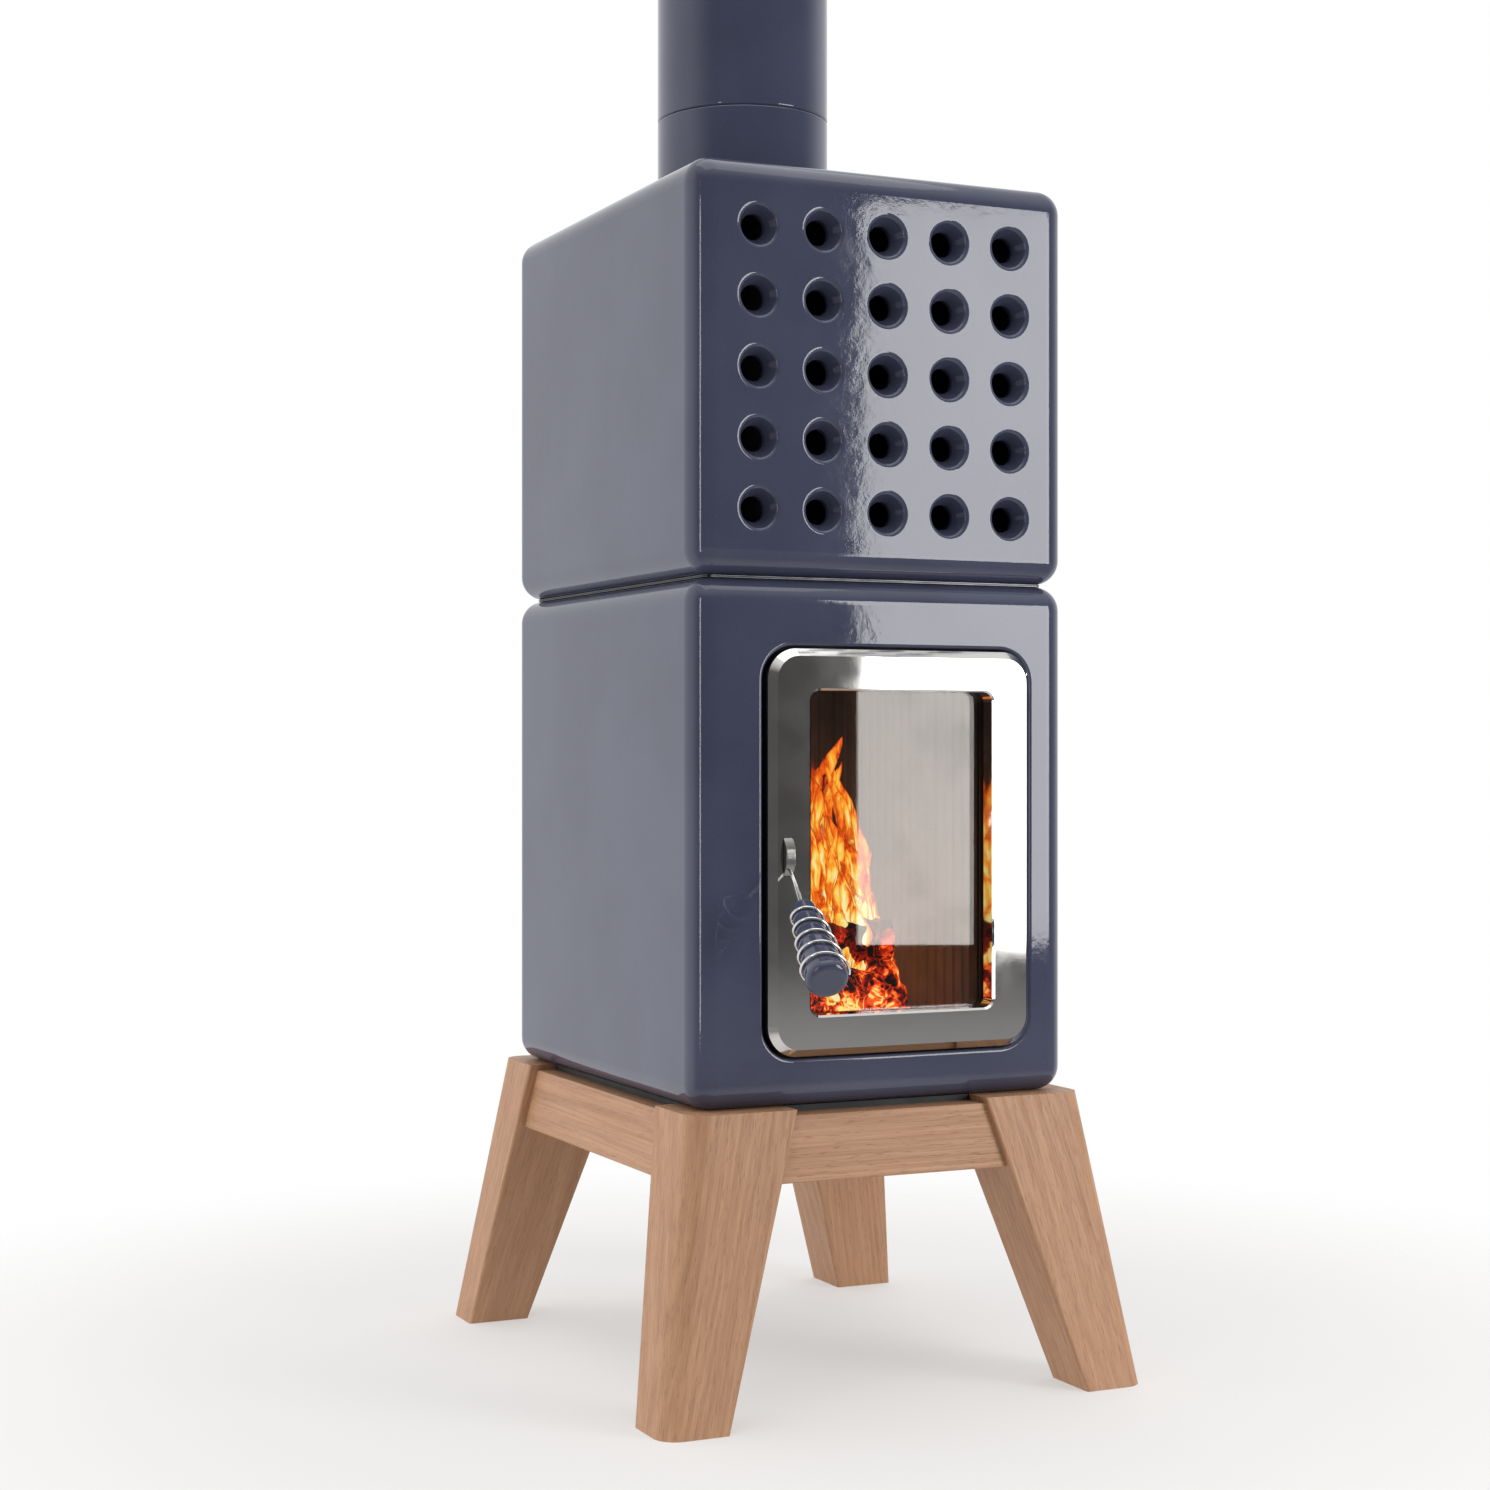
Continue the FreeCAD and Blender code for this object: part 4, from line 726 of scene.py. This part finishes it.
class STOVE_OT_fire(StoveOperator):
    """Lays split logs and glowing coals, and raises the flames from them"""

    bl_idname = "stove.fire"
    bl_label = "Fire"

    def build(self, scene):
        sizes = scene.stove_fire
        random.seed(sizes.seed)
        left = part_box("lining_left_lower")[1].x
        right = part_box("lining_right_lower")[0].x
        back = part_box("lining_back_lower")[0].y
        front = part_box("firebox_front_frame")[1].y
        self.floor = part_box("lining_floor")[1].z
        self.middle = Vector(((left + right) / 2 + 0.012, front + 0.42 * (back - front), self.floor))
        self.logs(sizes)
        self.coals(sizes)
        self.flames(sizes)

    def logs(self, sizes):
        """Split logs in two crossed layers."""
        bm = bmesh.new()
        radius = sizes.log_radius
        for lift, heading, length, row in LOG_LAYERS:
            for shift, skew in row:
                angle = math.radians(heading + skew)
                across = Vector((math.cos(angle), math.sin(angle), 0.0))
                along = Vector((-math.sin(angle), math.cos(angle), 0.0))
                height = radius * (1.1 + lift) + 0.012
                centre = self.middle + across * shift + Vector((0.0, 0.0, height))
                self.split_log(bm, centre, along, across, length, radius * random.uniform(0.85, 1.1))
        mesh = mesh_from(bm, "firewood")
        new_piece("firewood", mesh, charred_log("burning_wood", self.floor + 0.095), BODY_FIXED)

    def split_log(self, bm, centre, along, across, length, radius):
        """One split log: three-cornered, with worn ends and a checked skin."""
        rings, around = 44, 40
        roll = random.uniform(0.0, 2.0 * math.pi)
        up = Vector((0.0, 0.0, 1.0))
        loops = []
        for i in range(rings + 1):
            t = i / rings
            worn = (1.0 - abs(2.0 * t - 1.0) ** 14) ** 0.5
            loop = []
            for j in range(around):
                angle = 2.0 * math.pi * j / around
                corner = 1.0 + 0.2 * math.cos(3.0 * angle + roll)
                spot = centre + along * ((t - 0.5) * length)
                ray = across * math.cos(angle + roll) + up * math.sin(angle + roll)
                rough = 1.0 + 0.22 * field.noise((spot + ray * radius) * 45.0)
                rough += 0.1 * field.noise((spot + ray * radius) * 140.0)
                loop.append(bm.verts.new(spot + ray * (radius * corner * rough * max(worn, 0.02))))
            loops.append(loop)
        for first, second in zip(loops, loops[1:]):
            for j in range(around):
                k = (j + 1) % around
                bm.faces.new((first[j], first[k], second[k], second[j]))
        bm.faces.new(reversed(loops[0]))
        bm.faces.new(loops[-1])

    def coals(self, sizes):
        """Coals scattered over a low mound of ash, by Geometry Nodes."""
        bm = bmesh.new()
        bmesh.ops.create_grid(bm, x_segments=40, y_segments=40, size=1.0)
        for vertex in bm.verts:
            x, y = vertex.co.x, vertex.co.y
            mound = max(0.0, (1.0 - x ** 4) * (1.0 - y ** 4))
            lump = 0.5 + 0.5 * field.noise(Vector((x, y, 0.3)) * 5.0)
            vertex.co = self.middle + Vector((
                1.1 * x * sizes.half_width, 1.4 * y * sizes.half_depth, 0.004 + 0.024 * mound * (0.5 + lump),
            ))
        bed = mesh_from(bm, "ember_bed")
        glow = charred_log("glowing_coals", self.floor + 0.09)
        holder = bpy.data.objects.new("coal_holder", bed)
        bpy.context.scene.collection.objects.link(holder)
        mesh = plain_mesh(
            holder, self.coal_tree(glow), "glowing_coals",
            density=float(sizes.coals), size=sizes.coal_size, seed=sizes.seed,
        )
        new_piece("glowing_coals", mesh, glow, BODY_FIXED)

    def coal_tree(self, glow):
        """Rough little blocks scattered over the bed, which stays under them."""
        group = bpy.data.node_groups.new("coal_tree", "GeometryNodeTree")
        group.interface.new_socket("Geometry", in_out="INPUT", socket_type="NodeSocketGeometry")
        group.interface.new_socket("Density", in_out="INPUT", socket_type="NodeSocketFloat")
        group.interface.new_socket("Size", in_out="INPUT", socket_type="NodeSocketFloat")
        group.interface.new_socket("Seed", in_out="INPUT", socket_type="NodeSocketInt")
        group.interface.new_socket("Geometry", in_out="OUTPUT", socket_type="NodeSocketGeometry")
        tree = Tree(group)
        given = tree.add("NodeGroupInput").outputs
        points = tree.add("GeometryNodeDistributePointsOnFaces", {
            "Mesh": given["Geometry"], "Density": given["Density"], "Seed": given["Seed"],
        })
        block = tree.add("GeometryNodeMeshIcoSphere", {"Radius": given["Size"], "Subdivisions": 2})
        place = tree.add("GeometryNodeInputPosition").outputs[0]
        cells = tree.add("ShaderNodeTexVoronoi", {"Vector": place, "Scale": 70.0}, feature="F1")
        lumps = cells.outputs["Distance"]
        push = tree.add("ShaderNodeVectorMath", operation="SCALE")
        tree.fill(push.inputs[0], place)
        tree.fill(push.inputs["Scale"], tree.maths("MULTIPLY", lumps, -0.6))
        carved = tree.add(
            "GeometryNodeSetPosition", {"Geometry": block.outputs[0], "Offset": push.outputs[0]}
        )
        turn = tree.add("FunctionNodeRandomValue", {"Seed": given["Seed"]}, data_type="FLOAT_VECTOR")
        turn.inputs["Max"].default_value = (math.pi, math.pi, math.pi)
        grow = tree.add("FunctionNodeRandomValue", {"Seed": given["Seed"]}, data_type="FLOAT")
        grow.inputs[2].default_value = 0.45
        grow.inputs[3].default_value = 1.2
        scattered = tree.add("GeometryNodeInstanceOnPoints", {
            "Points": points.outputs[0], "Instance": carved.outputs[0],
            "Rotation": turn.outputs[0], "Scale": grow.outputs[1],
        })
        whole = tree.add("GeometryNodeJoinGeometry")
        tree.fill(whole.inputs[0], scattered.outputs[0])
        tree.fill(whole.inputs[0], given["Geometry"])
        real = tree.add("GeometryNodeRealizeInstances", {"Geometry": whole.outputs[0]})
        done = tree.add("GeometryNodeSetMaterial", {"Geometry": real.outputs[0], "Material": glow})
        tree.add("NodeGroupOutput", {"Geometry": done.outputs[0]})
        return group

    def flames(self, sizes):
        """Tongues of flame, tall in the middle of the fire and short at its rim, and small licks."""
        bm = bmesh.new()
        heat = bm.verts.layers.float.new("fire_heat")
        for i in range(sizes.tongues):
            away = ((i + 0.5) / sizes.tongues) ** 0.5
            envelope = 1.0 - away ** 1.6
            height = sizes.edge + (sizes.peak - sizes.edge) * envelope * random.uniform(0.72, 1.0)
            width = random.uniform(0.014, 0.022) * (0.8 + 0.6 * envelope)
            self.tongue(bm, heat, self.hearth_spot(sizes, 0.92 * away, GOLDEN_ANGLE * i), height, width)
        for i in range(sizes.licks):
            spot = self.hearth_spot(sizes, random.uniform(0.6, 1.05), random.uniform(math.pi, 2.0 * math.pi))
            self.tongue(bm, heat, spot, random.uniform(0.03, 0.055), random.uniform(0.006, 0.011))
        mesh = mesh_from(bm, "flames")
        new_piece("flames", mesh, flame_sheet("flame"), BODY_FIXED)

    def hearth_spot(self, sizes, away, angle):
        """A place just above the embers, from its share of the way to the fire's rim and its heading."""
        x = away * sizes.half_width * math.cos(angle)
        y = away * sizes.half_depth * math.sin(angle)
        return self.middle + Vector((x, y, random.uniform(0.012, 0.04)))

    def tongue(self, bm, heat, base, height, width):
        """A flattened tongue that sways as it rises, narrows to a wisp and is drawn to the middle."""
        rows, around = 44, 20
        turn = random.uniform(-0.6, 0.6)
        inward = 0.35 * (self.middle - base)
        sway = Vector((inward.x, inward.y, 0.0)) + Vector((random.uniform(-0.6, 0.6), 0.0, 0.0)) * width
        wave = random.uniform(0.0, 2.0 * math.pi)
        across = Vector((math.cos(turn), math.sin(turn), 0.0))
        through = Vector((-math.sin(turn), math.cos(turn), 0.0)) * 0.35
        loops = []
        for i in range(rows + 1):
            t = i / rows
            belly = math.sin(math.pi * min(1.0, 0.12 + 0.88 * t) ** 0.55) ** 0.8 + 0.002
            bend = sway * (t * t) + across * (0.7 * width * t * math.sin(7.0 * t + wave))
            middle = base + bend + Vector((0.0, 0.0, height * t))
            flicker = 1.0 + 0.6 * field.noise(middle * 38.0)
            loop = []
            for j in range(around):
                angle = 2.0 * math.pi * j / around
                reach = across * math.cos(angle) + through * math.sin(angle)
                vertex = bm.verts.new(middle + reach * (width * belly * flicker))
                edge = abs(math.sin(angle)) ** 0.5
                vertex[heat] = edge * (1.0 - 0.55 * t) * min(1.0, 8.0 * t + 0.35)
                loop.append(vertex)
            loops.append(loop)
        for first, second in zip(loops, loops[1:]):
            for j in range(around):
                k = (j + 1) % around
                bm.faces.new((first[j], first[k], second[k], second[j]))
        bm.faces.new(reversed(loops[0]))
        bm.faces.new(loops[-1])


class STOVE_OT_studio(StoveOperator):
    """Sets the camera, the floor, the lights and the studio round the stove"""

    bl_idname = "stove.studio"
    bl_label = "Studio"

    def build(self, scene):
        sizes = scene.stove_studio
        scene.view_settings.view_transform = "Standard"
        self.camera(scene, sizes)
        self.floor()
        self.surroundings(scene, sizes)
        softbox = Vector(SOFTBOX_PLACE)
        self.area("softbox", softbox, softbox + Vector(SOFTBOX_FACING), SOFTBOX_SIZE, sizes.softbox)
        self.area("strip_light", Vector(STRIP_PLACE), Vector(STRIP_TARGET), STRIP_SIZE, sizes.strip)
        side = self.area("side_light", Vector(SIDE_PLACE), Vector(SIDE_TARGET), SIDE_SIZE, sizes.side)
        side.visible_glossy = False
        self.area("top_light", Vector(TOP_PLACE), Vector(), TOP_SIZE, sizes.top)
        self.fire_light()

    def camera(self, scene, sizes):
        """A camera level with the firebox, turned a little to the right."""
        data = bpy.data.cameras.new("camera")
        data.lens = sizes.lens
        data.sensor_width = 36.0
        data.shift_y = sizes.shift
        data.clip_start = 0.05
        data.clip_end = 60.0
        camera = bpy.data.objects.new("camera", data)
        camera.location = sizes.camera_place
        camera.rotation_euler = (math.pi / 2, 0.0, sizes.camera_turn)
        scene.collection.objects.link(camera)
        scene.camera = camera

    def floor(self):
        """A pale round floor whose rim fades into the studio."""
        bm = bmesh.new()
        bmesh.ops.create_circle(bm, cap_ends=True, radius=FLOOR_RADIUS, segments=128)
        mesh = bpy.data.meshes.new("studio_floor")
        bm.to_mesh(mesh)
        bm.free()
        material, tree = new_material("studio_floor")
        place = tree.add("ShaderNodeTexCoord").outputs["Object"]
        away = tree.add("ShaderNodeVectorMath", {0: place}, operation="LENGTH").outputs["Value"]
        fade = tree.range(away, *FLOOR_FADE)
        pale = principled(
            tree, base_color=(0.36, 0.355, 0.35, 1.0), roughness=0.9,
            emission_color=(1.0, 0.985, 0.975, 1.0), emission_strength=0.46,
        )
        clear = tree.add("ShaderNodeBsdfTransparent").outputs[0]
        mixed = tree.add("ShaderNodeMixShader", {"Fac": fade})
        tree.fill(mixed.inputs[1], pale)
        tree.fill(mixed.inputs[2], clear)
        tree.finish(mixed.outputs[0])
        mesh.materials.append(material)
        floor = bpy.data.objects.new("studio_floor", mesh)
        bpy.context.scene.collection.objects.link(floor)

    def surroundings(self, scene, sizes):
        """A studio bright behind and above, dim in front, and plain white to the camera."""
        world = bpy.data.worlds.new("studio")
        world.use_nodes = True
        world.node_tree.nodes.clear()
        tree = Tree(world.node_tree)
        way = tree.add("ShaderNodeTexCoord").outputs["Generated"]
        split = tree.add("ShaderNodeSeparateXYZ", {"Vector": way})
        behind = tree.range(split.outputs[1], -0.5, 0.25, sizes.before, sizes.behind)
        above = tree.range(split.outputs[2], 0.25, 0.9, 0.0, 1.0)
        below = tree.range(split.outputs[2], -0.12, -0.06, sizes.below, 0.0)
        strength = tree.maths("MAXIMUM", tree.maths("MAXIMUM", behind, above), below)
        seen = tree.add("ShaderNodeLightPath").outputs["Is Camera Ray"]
        strength = tree.maths("MAXIMUM", strength, seen)
        glow = tree.add("ShaderNodeBackground", {"Color": (1.0, 1.0, 1.0, 1.0), "Strength": strength})
        tree.add("ShaderNodeOutputWorld", {"Surface": glow.outputs[0]})
        scene.world = world

    def area(self, name, place, target, size, power):
        """A rectangular light turned towards a point; returns it."""
        data = bpy.data.lights.new(name, "AREA")
        data.shape = "RECTANGLE"
        data.size, data.size_y = size
        data.energy = power
        light = bpy.data.objects.new(name, data)
        light.location = place
        light.rotation_euler = (target - place).to_track_quat("-Z", "Y").to_euler()
        light.visible_camera = False
        bpy.context.scene.collection.objects.link(light)
        return light

    def fire_light(self):
        """A warm light in the middle of the fire."""
        low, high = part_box("lining_back_lower")
        data = bpy.data.lights.new("fire_light", "POINT")
        data.color = (1.0, 0.88, 0.78)
        data.energy = 0.6
        data.shadow_soft_size = 0.06
        light = bpy.data.objects.new("fire_light", data)
        light.location = ((low.x + high.x) / 2, low.y - 0.2, high.z - 0.02)
        light.visible_camera = False
        bpy.context.scene.collection.objects.link(light)


OPERATORS = (
    STOVE_OT_stand, STOVE_OT_ceramic, STOVE_OT_plates, STOVE_OT_door, STOVE_OT_handle,
    STOVE_OT_firebox, STOVE_OT_fire, STOVE_OT_studio,
)


class STOVE_PT_pieces(bpy.types.Panel):
    """Lists the groups of pieces and their sizes."""

    bl_idname = "STOVE_PT_pieces"
    bl_label = "Wood Burning Stove"
    bl_space_type = "VIEW_3D"
    bl_region_type = "UI"
    bl_category = "Stove"

    def draw(self, context):
        for operator in OPERATORS:
            self.layout.operator(operator.bl_idname)
        for group in (
            context.scene.stove_colours, context.scene.stove_handle,
            context.scene.stove_fire, context.scene.stove_studio,
        ):
            box = self.layout.box()
            for name in group.__annotations__:
                box.prop(group, name)


GROUPS = {
    "stove_colours": StoveColours,
    "stove_handle": HandleSizes,
    "stove_fire": FireSizes,
    "stove_studio": StudioSizes,
}
CLASSES = (*GROUPS.values(), *OPERATORS, STOVE_PT_pieces)


def register():
    for item in CLASSES:
        bpy.utils.register_class(item)
    for name, group in GROUPS.items():
        setattr(bpy.types.Scene, name, PointerProperty(type=group))


def unregister():
    for name in GROUPS:
        delattr(bpy.types.Scene, name)
    for item in reversed(CLASSES):
        bpy.utils.unregister_class(item)


def main():
    """Builds every group in order."""
    register()
    for operator in OPERATORS:
        group, name = operator.bl_idname.split(".")
        getattr(getattr(bpy.ops, group), name)()


if __name__ == "__main__":
    main()
